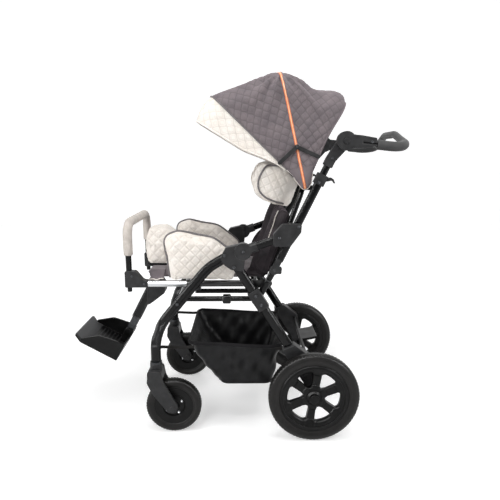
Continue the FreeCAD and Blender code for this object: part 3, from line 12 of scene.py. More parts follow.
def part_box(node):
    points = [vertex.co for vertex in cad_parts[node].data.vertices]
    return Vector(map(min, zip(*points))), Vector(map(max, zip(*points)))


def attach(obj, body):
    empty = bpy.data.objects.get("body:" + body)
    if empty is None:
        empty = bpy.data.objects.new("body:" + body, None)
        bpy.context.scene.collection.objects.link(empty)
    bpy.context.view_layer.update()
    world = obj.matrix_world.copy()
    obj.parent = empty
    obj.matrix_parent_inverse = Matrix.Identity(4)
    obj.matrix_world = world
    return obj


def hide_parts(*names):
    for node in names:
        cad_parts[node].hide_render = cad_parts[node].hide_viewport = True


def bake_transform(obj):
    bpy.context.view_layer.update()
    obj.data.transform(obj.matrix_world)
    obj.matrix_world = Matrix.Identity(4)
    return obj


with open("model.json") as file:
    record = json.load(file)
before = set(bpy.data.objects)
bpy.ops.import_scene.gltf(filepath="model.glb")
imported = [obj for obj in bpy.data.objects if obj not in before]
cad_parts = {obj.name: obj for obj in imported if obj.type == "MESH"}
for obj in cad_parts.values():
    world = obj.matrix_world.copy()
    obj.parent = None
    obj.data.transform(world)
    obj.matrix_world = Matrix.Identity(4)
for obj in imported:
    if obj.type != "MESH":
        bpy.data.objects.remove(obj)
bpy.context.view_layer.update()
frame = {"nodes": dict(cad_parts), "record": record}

# Millimetres, counted in the side view from the datum that puts the rear axle at this X
MM = 0.001
REAR_AXLE_X = 215.0
axle_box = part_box("right_rear_tyre")
DATUM = (axle_box[0].x + axle_box[1].x) / 2 / MM - REAR_AXLE_X
REAR_AXLE = (REAR_AXLE_X, (axle_box[0].z + axle_box[1].z) / 2 / MM)
front_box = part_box("right_front_tyre")
FRONT_AXLE = ((front_box[0].x + front_box[1].x) / 2 / MM - DATUM, (front_box[0].z + front_box[1].z) / 2 / MM)

# Hood: polar sections (degrees, radius) about the pin of its bows
HOOD_PIVOT = (183.0, 838.0)
HOOD_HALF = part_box("hood_front_panel")[1].y / MM
HOOD_START = 24.0
HOOD_CORNER = 70.0
HOOD_CROWN = 12.0
MID_BOW = 102.9
FRONT_BOW = 136.1
REAR_BOW = 67.0
REAR_CLOTH = ((64.2, 306.0), (REAR_BOW, 322.0), (71.0, 327.0), (77.0, 321.0), (84.5, 319.0),
              (92.5, 346.0), (MID_BOW, 379.0))
FRONT_CLOTH = ((MID_BOW, 379.0), (112.0, 378.0), (121.0, 387.0), (129.0, 404.0), (FRONT_BOW, 424.0))
VISOR_CLOTH = ((FRONT_BOW, 424.0), (143.0, 424.0), (148.8, 415.0))
HOOD_STEP = 3.6
# Rows of points up a bow's side, round its corner and over half of its top
SIDE_ROWS, CORNER_ROWS, TOP_ROWS = (int(length / HOOD_STEP) for length in (280, 110, 120))
HOOD_THICK = 0.9
HOOD_QUILT = (31.0, 37.0)
HOOD_RELIEF = 1.9
HOOD_PUFF = 0.4
HOOD_SEW_WIDTH = 4.5
OGEE = 0.45
TIP_FADE = (70.0, 92.0)
EDGE_START = 84.0
GATHER_HEIGHT = 5.2
HOLLOW_DEPTH = 5.0

# Rear rims
SPOKES = 6
SPOKE_ANGLE = 22.0
RIM_SIDES = 216

# Tube across the front legs, black sleeve of the seat rail, backrest plane and seat
FRONT_CROSS = (-238.0, 458.0)
SLEEVE_FRONT = -212.0
BACK_HINGE = np.array((65.0, 515.0))
BACK_TOP = np.array((183.0, 848.0))
BACK_UP = (BACK_TOP - BACK_HINGE) / np.linalg.norm(BACK_TOP - BACK_HINGE)
RAIL_Y = 165.0
GUARD_MID = 159.0
GUARD_EDGE = ((-52, 523.3), (-34, 606), (-120, 676), (-236, 700), (-286, 682), (-280, 600), (-272, 523.3))
GUARD_ROUND = (14, 34, 60, 30, 34, 30, 14)
WING_SEAM = ((268, 22), (265, 98), (278, 134), (314, 149), (372, 143), (400, 70))
HEADREST_HALF = 150.0
POMMEL_HALF = 56.0
BOLSTER = 22.0
QUILT_CELL = (36.0, 36.0)
PAD_SEW_WIDTH = 4.2

# Grab bar and push handle
BUMPER_X = -408.0
BUMPER_LINE = 718.5
BUMPER_FOAM_LOW = 611.0
BUMPER_FOAM_R = 15.5
BUMPER_BEND = 46.0
HANDLE_Y = 216.4
GRIP_POINTS = ((404.0, HANDLE_Y, 975.0), (510.0, HANDLE_Y, 963.5), (505.0, 60.0, 1014.0))
GRIP_BENDS = (62.0, 90.0, 90.0, 62.0)
GRIP_R = 15.6
SLEEVE_STEP = 3.0

# Basket
BASKET_FLOOR, BASKET_TOP = 141.0, 306.0
BASKET_TOP_X = (-212.0, 118.0)
BASKET_FLOOR_X = (-102.0, 84.0)
BASKET_HALF = 188.0
BASKET_INSET = 26.0
BASKET_DROOP = 12.0
BASKET_CREASE = 3.4
BASKET_ROWS, BASKET_SIDES = 40, 260

# Footplate plane
FOOT_PIVOT = (-455.0, 284.0)
SOLE_ANGLE = math.radians(29.7)
HEEL_BACK, HEEL_DROP = 7.0, 84.0
SOLE_LENGTH, TOE_LENGTH, TOE_RISE = 141.0, 28.0, 15.5
FOOT_HALF = 105.0

# Camera of the photograph, in metres and radians
CAMERA_X, CAMERA_Y, CAMERA_Z = 0.0362, -1.7679, 0.9347
CAMERA_DOWN, CAMERA_TURN = 0.189, 0.012
CAMERA_LENS = 34.72
LAMP_AIM = (0.0, 0.0, 0.6)


def metres(points):
    """Points (x, y, z) in millimetres from the datum, in metres in the frame."""
    return (np.asarray(points, float) + (DATUM, 0, 0)) * MM


def millimetres(points):
    """Points of the frame in millimetres from the datum."""
    return np.asarray(points, float) / MM - (DATUM, 0, 0)


def unit(vectors):
    """Vectors at length one."""
    vectors = np.asarray(vectors, float)
    return vectors / np.maximum(np.linalg.norm(vectors, axis=-1, keepdims=True), 1e-9)


def ease(value, low, high):
    """Smooth step from 0 at low to 1 at high."""
    share = np.clip((np.asarray(value, float) - low) / (high - low), 0, 1)
    return share * share * (3 - 2 * share)


def upright(line, y):
    """Side view line as points at one place across."""
    return np.column_stack((line[:, 0], np.full(len(line), float(y)), line[:, 1]))


def middle_of(point):
    """Side view point on the stroller's middle plane."""
    return np.array((point[0], 0, point[1]))


def placed(name, data):
    """New object in the scene."""
    obj = bpy.data.objects.new(name, data)
    bpy.context.collection.objects.link(obj)
    return obj


def piece(name, points, faces, finish, body=None, slot=None):
    """New smooth mesh object from points in millimetres; it rides on a body if one is given."""
    mesh = bpy.data.meshes.new(name)
    mesh.from_pydata(metres(points).tolist(), [], faces)
    mesh.materials.append(finish)
    mesh.polygons.foreach_set("use_smooth", [True] * len(mesh.polygons))
    obj = placed(name, mesh)
    outward(obj)
    if body:
        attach(obj, body)
    return obj


def outward(obj):
    """Turn the faces of a mesh outwards."""
    shape = bmesh.new()
    shape.from_mesh(obj.data)
    bmesh.ops.recalc_face_normals(shape, faces=shape.faces)
    shape.to_mesh(obj.data)
    shape.free()


def settle(obj, kind, **settings):
    """Apply one modifier to a mesh object."""
    modifier = obj.modifiers.new(kind.title(), kind)
    for key, value in settings.items():
        setattr(modifier, key, value)
    done = bpy.data.meshes.new_from_object(obj.evaluated_get(bpy.context.evaluated_depsgraph_get()))
    obj.modifiers.clear()
    old, obj.data = obj.data, done
    bpy.data.meshes.remove(old)
    done.polygons.foreach_set("use_smooth", [True] * len(done.polygons))


def coordinates(obj, key="co"):
    """All vertex places or normals of a mesh as an array."""
    mesh = obj.data
    values = np.zeros(len(mesh.vertices) * 3, np.float32)
    source, field = (mesh.vertex_normals, "vector") if key == "normal" else (mesh.vertices, "co")
    source.foreach_get(field, values)
    return values.reshape(-1, 3).astype(float)


def move_to(obj, points):
    """Write vertex places in metres back to a mesh."""
    obj.data.vertices.foreach_set("co", np.asarray(points, np.float32).ravel())
    obj.data.update()


def grid_faces(rows, columns, wrap=False, loop=False):
    """Quads of a grid of points; wrap closes each row, and loop joins the last row to the first."""
    faces = []
    for row in range(rows if loop else rows - 1):
        for column in range(columns if wrap else columns - 1):
            right = (column + 1) % columns
            here, there = row * columns, (row + 1) % rows * columns
            faces.append((here + column, here + right, there + right, there + column))
    return faces


def end_faces(rows, columns):
    """Faces that close the first and the last row of a grid."""
    return [tuple(range(columns)), tuple(range((rows - 1) * columns, rows * columns))]


def spaced(path, step):
    """The same path with evenly spaced points."""
    path = np.asarray(path, float)
    run = np.concatenate(([0], np.cumsum(np.linalg.norm(np.diff(path, axis=0), axis=1))))
    count = max(3, int(run[-1] / step) + 1)
    at = np.linspace(0, run[-1], count)
    return np.column_stack([np.interp(at, run, path[:, axis]) for axis in range(path.shape[1])])


def bent(points, bends, step=4.0):
    """Even points along straight runs that turn with a round bend at each inner point."""
    points = [np.asarray(point, float) for point in points]
    spots = [points[0]]
    for before, point, after, bend in zip(points, points[1:], points[2:], bends):
        back, on = unit(before - point), unit(after - point)
        half = math.acos(np.clip(back @ on, -1, 1)) / 2
        reach = bend / math.tan(half)
        centre = point + unit(back + on) * bend / math.sin(half)
        first, last = point + back * reach - centre, point + on * reach - centre
        turn = math.pi - 2 * half
        for share in np.linspace(0, 1, 12):
            arm = first * math.sin((1 - share) * turn) + last * math.sin(share * turn)
            spots.append(centre + arm / math.sin(turn))
    spots.append(points[-1])
    return spaced(spots, step)


def closed_outline(points, bends, step=4.0):
    """Even points round a closed outline with rounded corners."""
    points = [np.asarray(point, float) for point in points]
    start = (points[-1] + points[0]) / 2
    return bent([start] + points + [start], bends, step)[:-1]


def oval(wide, high, sides=12):
    """Flat oval section as (across, out) offsets."""
    return [(wide / 2 * math.cos(turn), high / 2 * math.sin(turn))
            for turn in np.linspace(0, 2 * math.pi, sides, endpoint=False)]


def circle(radius, sides=12):
    """Round section as (across, out) offsets."""
    return oval(2 * radius, 2 * radius, sides)


def sweep(path, out, section, loop=False, sizes=None):
    """Points and faces of a section carried along a path; out says which way is outwards."""
    path = np.asarray(path, float)
    if loop:
        along = unit(np.roll(path, -1, 0) - np.roll(path, 1, 0))
    else:
        along = unit(np.gradient(path, axis=0))
    out = np.broadcast_to(np.asarray(out, float), path.shape)
    out = unit(out - (out * along).sum(1, keepdims=True) * along)
    across = np.cross(along, out)
    sizes = np.ones(len(path)) if sizes is None else np.asarray(sizes)
    offsets = np.asarray(section) * sizes[:, None, None]
    points = path[:, None] + across[:, None] * offsets[..., :1] + out[:, None] * offsets[..., 1:]
    rows, count = len(path), len(section)
    faces = grid_faces(rows, count, wrap=True, loop=loop)
    if not loop:
        faces += end_faces(rows, count)
    return points.reshape(-1, 3), faces


def joined(parts):
    """Several (points, faces) as one."""
    points, faces, start = [], [], 0
    for spots, quads in parts:
        points.append(np.asarray(spots, float))
        faces += [tuple(index + start for index in quad) for quad in quads]
        start += len(spots)
    return np.concatenate(points), faces


def both_sides(spots, faces):
    """A left-hand and a right-hand copy."""
    return joined([(spots, faces), (np.asarray(spots) * (1, -1, 1), faces)])


def linear(colour):
    """sRGB hex colour as linear RGBA."""
    parts = [int(colour[start:start + 2], 16) / 255 for start in (1, 3, 5)]
    return [part / 12.92 if part <= 0.04045 else ((part + 0.055) / 1.055) ** 2.4 for part in parts] + [1.0]


def add(tree, kind, inputs=(), **settings):
    """Add one node with its settings; an input is a value or the output that feeds it."""
    node = tree.nodes.new("ShaderNode" + kind)
    for key, value in settings.items():
        setattr(node, key, value)
    for socket, value in dict(inputs).items():
        if isinstance(value, bpy.types.NodeSocket):
            tree.links.new(value, node.inputs[socket])
        else:
            node.inputs[socket].default_value = value
    return node


def new_finish(name, values):
    """Material with a Principled shader whose constant values are set by socket name."""
    material = bpy.data.materials.new(name)
    material.use_nodes = True
    shader = material.node_tree.nodes["Principled BSDF"]
    for socket, value in values.items():
        shader.inputs[socket].default_value = value
    return material, material.node_tree, shader


def mottled(tree, shader, light, dark, size, rough=None, detail=4.0):
    """Colour that drifts between two tones over a size in millimetres, with roughness drifting along."""
    place = add(tree, "TexCoord").outputs["Object"]
    noise = add(tree, "TexNoise", {"Vector": place, "Scale": 1 / (size * MM), "Detail": detail})
    share = add(tree, "MapRange", {"Value": noise.outputs[0], "From Min": 0.35, "From Max": 0.65})
    mix = add(tree, "Mix", {0: share.outputs[0], 6: linear(dark), 7: linear(light)}, data_type="RGBA")
    tree.links.new(mix.outputs[2], shader.inputs["Base Color"])
    if rough:
        spread = add(tree, "MapRange", {"Value": noise.outputs[0], "From Min": 0.3, "From Max": 0.7,
                                        "To Min": rough[0], "To Max": rough[1]})
        tree.links.new(spread.outputs[0], shader.inputs["Roughness"])
    return mix.outputs[2]


def grained(tree, shader, size, strength, depth, rounding=1.2):
    """Fine bump of a grain size in millimetres on softly rounded edges."""
    place = add(tree, "TexCoord").outputs["Object"]
    noise = add(tree, "TexNoise", {"Vector": place, "Scale": 1 / (size * MM), "Detail": 2.0})
    edge = add(tree, "Bevel", {"Radius": rounding * MM}, samples=6)
    bump = add(tree, "Bump", {"Strength": strength, "Distance": depth * MM, "Height": noise.outputs[0],
                              "Normal": edge.outputs[0]})
    tree.links.new(bump.outputs[0], shader.inputs["Normal"])
    return edge.outputs[0]


def edge_highlight_and_wear(tree, shader, colour, edge, paler_tone, start=0.97, most=0.5):
    """Paler colour along the edges, where the rounded and the true normal part: painted highlight on the
    enamel and grey nylon, scuffs on the rims.
    """
    true = add(tree, "NewGeometry").outputs["Normal"]
    agree = add(tree, "VectorMath", {0: edge, 1: true}, operation="DOT_PRODUCT").outputs["Value"]
    share = add(tree, "MapRange", {"Value": agree, "From Min": start, "From Max": 0.74, "To Max": most})
    mix = add(tree, "Mix", {0: share.outputs[0], 6: colour, 7: linear(paler_tone)}, data_type="RGBA")
    tree.links.new(mix.outputs[2], shader.inputs["Base Color"])


def gloss_enamel():
    # Black stoving enamel on steel tube: deep black, sharp highlights, a faint orange peel,
    #     # with a painted highlight in paler colour along the edges
    material, tree, shader = new_finish("black_stoving_enamel", {"IOR": 1.3})
    colour = mottled(tree, shader, "#060607", "#020203", 40, (0.07, 0.12))
    edge = grained(tree, shader, 3.0, 0.08, 0.05, 11.0)
    # Paler colour at the rounded edges: painted highlight along the tubes
    edge_highlight_and_wear(tree, shader, colour, edge, "#7c7d7f", 0.9, 0.55)
    return material


def moulded_nylon():
    # Glass-filled nylon from a spark-eroded mould: dark grey, matt, fine grain, a painted highlight along the
    # edges
    material, tree, shader = new_finish("moulded_grey_nylon", {"IOR": 1.3})
    colour = mottled(tree, shader, "#2d2d2e", "#222223", 25, (0.38, 0.5))
    edge = grained(tree, shader, 1.0, 0.25, 0.06, 2.5)
    # Paler colour at the rounded edges: painted highlight on the housings
    edge_highlight_and_wear(tree, shader, colour, edge, "#4a4a4b")
    return material


def rim_nylon():
    # Black nylon wheel rims: smooth moulded, satin, scuffed at the ribs
    material, tree, shader = new_finish("moulded_black_nylon", {"IOR": 1.25})
    colour = mottled(tree, shader, "#0e0e0e", "#070707", 30, (0.28, 0.42))
    edge = grained(tree, shader, 1.4, 0.2, 0.05, 2.5)
    edge_highlight_and_wear(tree, shader, colour, edge, "#3a3937")
    return material


def rail_aluminium():
    # Brushed aluminium seat rail, bright in front; a black sleeve covers it behind the front leg
    material, tree, shader = new_finish("brushed_aluminium_rail", {})
    place = add(tree, "TexCoord").outputs["Object"]
    x = add(tree, "SeparateXYZ", {0: place}).outputs[0]
    bright = add(tree, "Math", {0: x, 1: (SLEEVE_FRONT + DATUM) * MM}, operation="LESS_THAN").outputs[0]
    # Brush lines of 0.4 mm are drawn 1.5 mm wide to show
    stretch = add(tree, "VectorMath", {0: place, 1: (12, 650, 650)}, operation="MULTIPLY").outputs[0]
    lines = add(tree, "TexNoise", {"Vector": stretch, "Scale": 1.0, "Detail": 3.0}).outputs[0]
    tone = add(tree, "Mix", {0: lines, 6: linear("#b9babc"), 7: linear("#cbcccd")},
               data_type="RGBA").outputs[2]
    colour = add(tree, "Mix", {0: bright, 6: linear("#0a0a0b"), 7: tone}, data_type="RGBA").outputs[2]
    rough = add(tree, "MapRange", {"Value": lines, "To Min": 0.24, "To Max": 0.34}).outputs[0]
    tree.links.new(colour, shader.inputs["Base Color"])
    tree.links.new(bright, shader.inputs["Metallic"])
    tree.links.new(rough, shader.inputs["Roughness"])
    return material


def plated_steel(name, light, dark, rough):
    # Plated steel: metal with a slight cloudiness from the bath
    material, tree, shader = new_finish(name, {"Metallic": 1.0})
    mottled(tree, shader, light, dark, 6, rough)
    return material


def tyre_rubber():
    # Foamed polyurethane tyre: brown-black with a satin skin
    material, tree, shader = new_finish("polyurethane_tyre", {"IOR": 1.32})
    mottled(tree, shader, "#12100f", "#0a0908", 22, (0.32, 0.44))
    grained(tree, shader, 1.6, 0.2, 0.06)
    return material


def foam(name, light, dark, sheen):
    # Closed-cell foam sleeve: soft and dull with fine pores
    material, tree, shader = new_finish(name, {"Sheen Weight": sheen, "Sheen Roughness": 0.5})
    mottled(tree, shader, light, dark, 18, (0.72, 0.88))
    # Pores of 0.5 mm are drawn at 1.8 mm to show
    grained(tree, shader, 1.8, 0.5, 0.25)
    return material


def cloth(name, light, dark, thread, sheen, quilted=False, line="#3c3537", tint="#ffffff", ior=1.4,
          rough=(0.76, 0.9)):
    # Woven polyester: dull, with a soft sheen at grazing angles, mottled yarn and a fine weave
    material, tree, shader = new_finish(name, {"Sheen Weight": sheen, "Sheen Roughness": 0.4,
                                               "Sheen Tint": linear(tint), "IOR": ior})
    colour = mottled(tree, shader, light, dark, 45, rough)
    place = add(tree, "TexCoord").outputs["Object"]
    # Yarns of 0.5 mm are drawn as coarse as thread says, to show
    waves_per_metre = 2 * math.pi / (thread * MM)
    fine = add(tree, "VectorMath", {0: place, "Scale": waves_per_metre}, operation="SCALE").outputs[0]
    waves = add(tree, "VectorMath", {0: fine}, operation="SINE").outputs[0]
    parts = add(tree, "SeparateXYZ", {0: waves}).outputs
    pair = add(tree, "Math", {0: parts[0], 1: parts[1]}, operation="ADD").outputs[0]
    weave = add(tree, "Math", {0: pair, 1: parts[2]}, operation="ADD").outputs[0]
    yarn = add(tree, "MapRange", {"Value": weave, "From Min": -2.0, "From Max": 2.0, "To Min": 0.86,
                                  "To Max": 1.1}).outputs[0]
    colour = add(tree, "Mix", {0: 1.0, 6: colour, 7: yarn}, data_type="RGBA",
                 blend_type="MULTIPLY").outputs[2]
    bump = add(tree, "Bump", {"Strength": 0.25, "Distance": 0.15 * MM, "Height": weave})
    if quilted:
        # Sewing lines lie at whole numbers of the quilt attribute; its third value fades them out
        sewn = add(tree, "Attribute", attribute_name="quilt").outputs["Vector"]
        lines = add(tree, "SeparateXYZ", {0: sewn}).outputs
        off = [add(tree, "Math", {0: lines[axis], 1: 0.5}, operation="PINGPONG").outputs[0]
               for axis in (0, 1)]
        near = add(tree, "Math", {0: off[0], 1: off[1]}, operation="MINIMUM").outputs[0]
        # The colour darkens along the sewing lines: the stitching, together with painted shade in the sewn
        # valleys
        sewn_valley_shade = add(tree, "MapRange", {"Value": near, "From Min": 0.12, "From Max": 0.02,
                                      "To Max": 0.3}).outputs[0]
        sewn_valley_shade = add(tree, "Math", {0: sewn_valley_shade, 1: lines[2]}, operation="MULTIPLY").outputs[0]
        colour = add(tree, "Mix", {0: sewn_valley_shade, 6: colour, 7: linear(line)}, data_type="RGBA").outputs[2]
    tree.links.new(colour, shader.inputs["Base Color"])
    tree.links.new(bump.outputs[0], shader.inputs["Normal"])
    return material


def satin_cord(name, light, dark, rough):
    # Woven satin piping round a cord: smooth, with a slight gloss and a twill of 1.2 mm
    material, tree, shader = new_finish(name, {"Sheen Weight": 0.2})
    mottled(tree, shader, light, dark, 12, (rough, rough + 0.15))
    grained(tree, shader, 1.2, 0.25, 0.1)
    return material


ENAMEL = gloss_enamel()
NYLON = moulded_nylon()
RIM = rim_nylon()
RAIL = rail_aluminium()
STEEL = plated_steel("zinc_plated_steel", "#c9cacc", "#a2a3a6", (0.2, 0.34))
DARK_STEEL = plated_steel("black_zinc_steel", "#47484a", "#363739", (0.28, 0.4))
TYRE = tyre_rubber()
GREY_FOAM = foam("warm_grey_foam", "#c6beb7", "#b4aca4", 0.15)
GRIP_FOAM = foam("black_grip_foam", "#1a1a1b", "#0f0f10", 0.2)
HOOD_CLOTH = cloth("quilted_taupe_polyester", "#746a6d", "#61585c", 1.3, 0.22, True, "#2f292c", "#d9d0d6")
CREAM_CLOTH = cloth("quilted_cream_polyester", "#f1ebe4", "#e9e1d8", 1.3, 0.1, True, "#bdb3a8")
SEAT_CLOTH = cloth("taupe_seat_polyester", "#6f666a", "#585054", 1.4, 0.3)
BACK_CLOTH = cloth("dark_back_polyester", "#3b3538", "#221e21", 1.4, 0.3, tint="#b7a9b4", ior=1.25)
BASKET_CLOTH = cloth("black_oxford_polyester", "#161618", "#0c0c0d", 1.6, 0.1, ior=1.27, rough=(0.4, 0.52))
WEBBING = cloth("dark_grey_webbing", "#232120", "#181716", 1.8, 0.1, ior=1.25)
HEM_TAPE = cloth("black_hem_tape", "#1e1d1f", "#121113", 1.4, 0.1, ior=1.2)
PALE_TAPE = cloth("pale_binding_tape", "#d8d1ca", "#c4bcb4", 1.2, 0.2)
DARK_PIPING = satin_cord("dark_grey_piping", "#625d5e", "#4d4849", 0.5)
ORANGE_PIPING = satin_cord("orange_satin_piping", "#ef7a35", "#d85f1d", 0.42)
# Pale strip along the middle of the orange piping: a painted highlight
PIPING_HIGHLIGHT = satin_cord("painted_piping_highlight", "#f9c59b", "#f3b080", 0.3)
TOE_RUBBER = foam("grey_toe_rubber", "#373739", "#2b2b2d", 0.1)


def dress_frame():
    """Give every CAD node the finish of its material slot."""
    finishes = {"black_tube": ENAMEL, "silver_tube": RAIL, "dark_plastic": NYLON, "black_rim": RIM,
                "tyre": TYRE, "bright_steel": STEEL, "hood_cloth": HOOD_CLOTH, "cream_cloth": CREAM_CLOTH,
                "seat_cloth": SEAT_CLOTH, "basket_cloth": BASKET_CLOTH, "grey_foam": GREY_FOAM}
    own = {"rear_axle": RIM, "frame_fasteners": DARK_STEEL, "legrest_slider": DARK_STEEL, "footplate": RIM,
           "brake_bar": RIM}
    for part in frame["record"]["subparts"]:
        obj = frame["nodes"][part["node"]]
        if not obj.material_slots:
            obj.data.materials.append(None)
        for slot in obj.material_slots:
            slot.material = own.get(part["node"], finishes[part["material_slot"]])


def sewn_lines(p, q, cell, curl=0.0):
    """Numbers of the two families of sewing lines at cloth points, and the distance to the nearest line."""
    wide, high = cell
    q = q - curl * high / (4 * math.pi) * np.sin(4 * math.pi * q / high)
    u, v = p / wide + q / high, p / wide - q / high
    slope = math.hypot(1 / wide, 1 / high)
    near = np.minimum(abs(u - np.round(u)), abs(v - np.round(v))) / slope
    return u, v, near


def keep_lines(obj, u, v, share):
    """Store the sewing lines on a mesh for its finish."""
    layer = obj.data.attributes.new("quilt", "FLOAT_VECTOR", "POINT")
    layer.data.foreach_set("vector", np.column_stack((u.ravel(), v.ravel(), share.ravel())).ravel())


def through(sections, angles):
    """Smooth curve of radius over angle through a few sections."""
    knots = np.array([section[0] for section in sections], float)
    values = np.array([section[1] for section in sections], float)
    slopes = np.gradient(values, knots)
    place = np.clip(np.searchsorted(knots, angles) - 1, 0, len(knots) - 2)
    span = knots[place + 1] - knots[place]
    t = (angles - knots[place]) / span
    return ((2 * t**3 - 3 * t**2 + 1) * values[place] + (t**3 - 2 * t**2 + t) * span * slopes[place]
            + (3 * t**2 - 2 * t**3) * values[place + 1] + (t**3 - t**2) * span * slopes[place + 1])


def bow_line(radius):
    """Over one bow from the right pin to the left: distance from the pin, y, both normals, cloth run."""
    side, base = radius - HOOD_CORNER - HOOD_START, radius - HOOD_CORNER
    flat = HOOD_HALF - HOOD_CORNER
    crown = (flat**2 + HOOD_CROWN**2) / (2 * HOOD_CROWN)
    rows = []
    for share in np.linspace(0, 1, SIDE_ROWS):
        rho = HOOD_START + share * side
        rows.append((rho, HOOD_HALF, 0.0, 1.0, rho))
    for turn in np.linspace(0, math.pi / 2, CORNER_ROWS)[1:]:
        sin, cos = math.sin(turn), math.cos(turn)
        rows.append((base + HOOD_CORNER * sin, flat + HOOD_CORNER * cos, sin, cos, base + HOOD_CORNER * turn))
    top = base + HOOD_CORNER * math.pi / 2
    for share in np.linspace(0, 1, TOP_ROWS)[1:]:
        y = flat * (1 - share)
        rise = HOOD_CROWN - crown + math.sqrt(crown**2 - y**2)
        rows.append((radius + rise, y, math.sqrt(1 - (y / crown)**2), y / crown, top + flat - y))
    half = np.array([np.broadcast_arrays(*row) for row in rows])
    other = half[-2::-1] * np.array((1, -1, 1, -1, -1))[None, :, None]
    other[:, 4] += 2 * half[-1, 4]
    return np.moveaxis(np.concatenate((half, other)), 1, 0)


def polar(angles, rho, y):
    """Points of the hood from their angle, distance from the pin and place across."""
    turn = np.radians(angles)
    return np.stack((HOOD_PIVOT[0] + rho * np.cos(turn), y + 0 * rho, HOOD_PIVOT[1] + rho * np.sin(turn)), -1)


def gathers(rho, run, angles, corner_run, folds, height):
    """Small folds that fan out from the top of the middle bow."""
    out = rho * np.radians(np.abs(angles - MID_BOW))
    up = run - corner_run
    far = np.hypot(out, up)
    turn = np.arctan2(up, out)
    # They rise within 40 mm of the top and die out between 60 and 190 mm
    return height * np.cos(folds * turn) * ease(far, 6, 40) * (1 - ease(far, 60, 190))


def cut_line(angles, rho):
    """Angles of the cut cloth: the visor runs out at the pin, the lip behind the rear bow at its foot."""
    visor = FRONT_BOW + (angles - FRONT_BOW) * (0.02 + 0.98 * ease(rho, 40, 250))
    lip = REAR_BOW - (REAR_BOW - angles) * ease(rho, 150, 290)
    return np.where(angles > FRONT_BOW, visor, np.where(angles < REAR_BOW, lip, angles))


def hood_cloth(name, sections, finish, quilt, fold_count):
    """One quilted hood panel between two bows, as a thin sheet."""
    first, last = sections[0][0], sections[-1][0]
    columns = int(np.radians(last - first) * sections[0][1] / HOOD_STEP)
    angles = np.linspace(first, last, columns)
    radius = through(sections, angles)
    rho, y, lift_rho, lift_y, run = bow_line(radius)
    angles = cut_line(np.broadcast_to(angles, rho.shape), rho)
    middle = (first + last) / 2
    across = rho * np.radians(angles - middle)
    whole = run.max(0, keepdims=True)
    mirrored_run = np.minimum(run, whole - run)
    u, v, near = sewn_lines(across, mirrored_run, quilt, OGEE)
    rim = rho * np.radians(np.minimum(angles - angles[:, :1], angles[:, -1:] - angles))
    near = np.minimum(near, rim + 0.5)
    relief = HOOD_PUFF - HOOD_RELIEF * np.exp(-(near / HOOD_SEW_WIDTH)**2)
    if fold_count:
        corner_run = radius - HOOD_CORNER + 60
        share = np.sin(math.pi * (angles - first) / (last - first))
        relief = relief + gathers(rho, mirrored_run, angles, corner_run, fold_count, GATHER_HEIGHT)
        hollow = share * ease(mirrored_run, 150, 240) * (1 - ease(mirrored_run, 300, 360))
        relief = relief - HOLLOW_DEPTH * hollow
    points = polar(angles, rho + lift_rho * relief, y + lift_y * relief)
    obj = piece(name, points.reshape(-1, 3), grid_faces(*rho.shape), finish)
    keep_lines(obj, u, v, ease(rim, 1.0, 4.0))
    face_up(obj, HOOD_PIVOT)
    settle(obj, "SOLIDIFY", thickness=HOOD_THICK * MM, offset=-1.0)
    return obj


def face_up(obj, centre):
    """Turn an open sheet's faces away from a centre in the side view."""
    points, normals = coordinates(obj), coordinates(obj, "normal")
    away = points - metres(middle_of(centre))
    if (away * normals).sum() < 0:
        obj.data.flip_normals()


def bow_trim(name, line, section, proud, finish, body, slot, start=0.0, tip=0.0):
    """Cord, tape or rolled edge over a bow from a start radius; a tip height carries it over the tips."""
    degrees, radius = line
    rho, y, lift_rho, lift_y = bow_line(np.array([radius]))[:4, :, 0]
    angle = cut_line(degrees + 0 * rho, rho)
    height = proud + tip * (1 - ease(rho, *TIP_FADE))
    points = polar(angle, rho + lift_rho * height, y + lift_y * height)
    turn = np.radians(angle)
    out = np.column_stack((lift_rho * np.cos(turn), lift_y, lift_rho * np.sin(turn)))
    points, out = points[rho >= start], out[rho >= start]
    if tip:
        turn = math.radians(degrees)
        down = np.array((math.cos(turn), 0, math.sin(turn))) * -(HOOD_START + 2)
        points = np.concatenate(([points[0] + down], points, [points[-1] + down]))
        out = np.concatenate((out[:1], out, out[-1:]))
    piece(name, *sweep(points, out, section), finish, body, slot)


def hood():
    """Quilted hood: rear and front cloth, pale visor, piping along the bows and the rounded lower tips."""
    rear = hood_cloth("hood_rear_cloth", REAR_CLOTH, HOOD_CLOTH, HOOD_QUILT, 9)
    front = hood_cloth("hood_front_cloth", FRONT_CLOTH, HOOD_CLOTH, HOOD_QUILT, 11)
    visor = hood_cloth("hood_visor_cloth", VISOR_CLOTH, CREAM_CLOTH, HOOD_QUILT, 0)
    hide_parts("hood_rear_panel")
    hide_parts("hood_front_panel")
    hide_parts("hood_visor")
    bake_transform(rear)
    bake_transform(front)
    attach(visor, "hood_front")
    ridge = REAR_CLOTH[-1]
    rolled = oval(5.2, 4.2)
    bow_trim("hood_piping_tape", ridge, oval(8.5, 1.4), -0.3, ORANGE_PIPING, "hood_middle", "hood_cloth",
             tip=1.9)
    # Pale strip down the middle of the orange piping: painted highlight
    bow_trim("hood_piping_highlight", ridge, oval(3.4, 1.2), 0.0, PIPING_HIGHLIGHT, "hood_middle", "hood_cloth",
             tip=1.9)
    bow_trim("hood_front_seam", FRONT_CLOTH[-1], circle(2.2), 0.6, DARK_PIPING, "hood_front", "hood_cloth",
             EDGE_START)
    bow_trim("hood_rear_binding", REAR_CLOTH[0], rolled, -1.0, HOOD_CLOTH, "push_frame", "hood_cloth",
             EDGE_START)
    bow_trim("hood_visor_edge", VISOR_CLOTH[-1], rolled, -1.0, CREAM_CLOTH, "hood_front", "cream_cloth",
             EDGE_START)
    hood_tips()


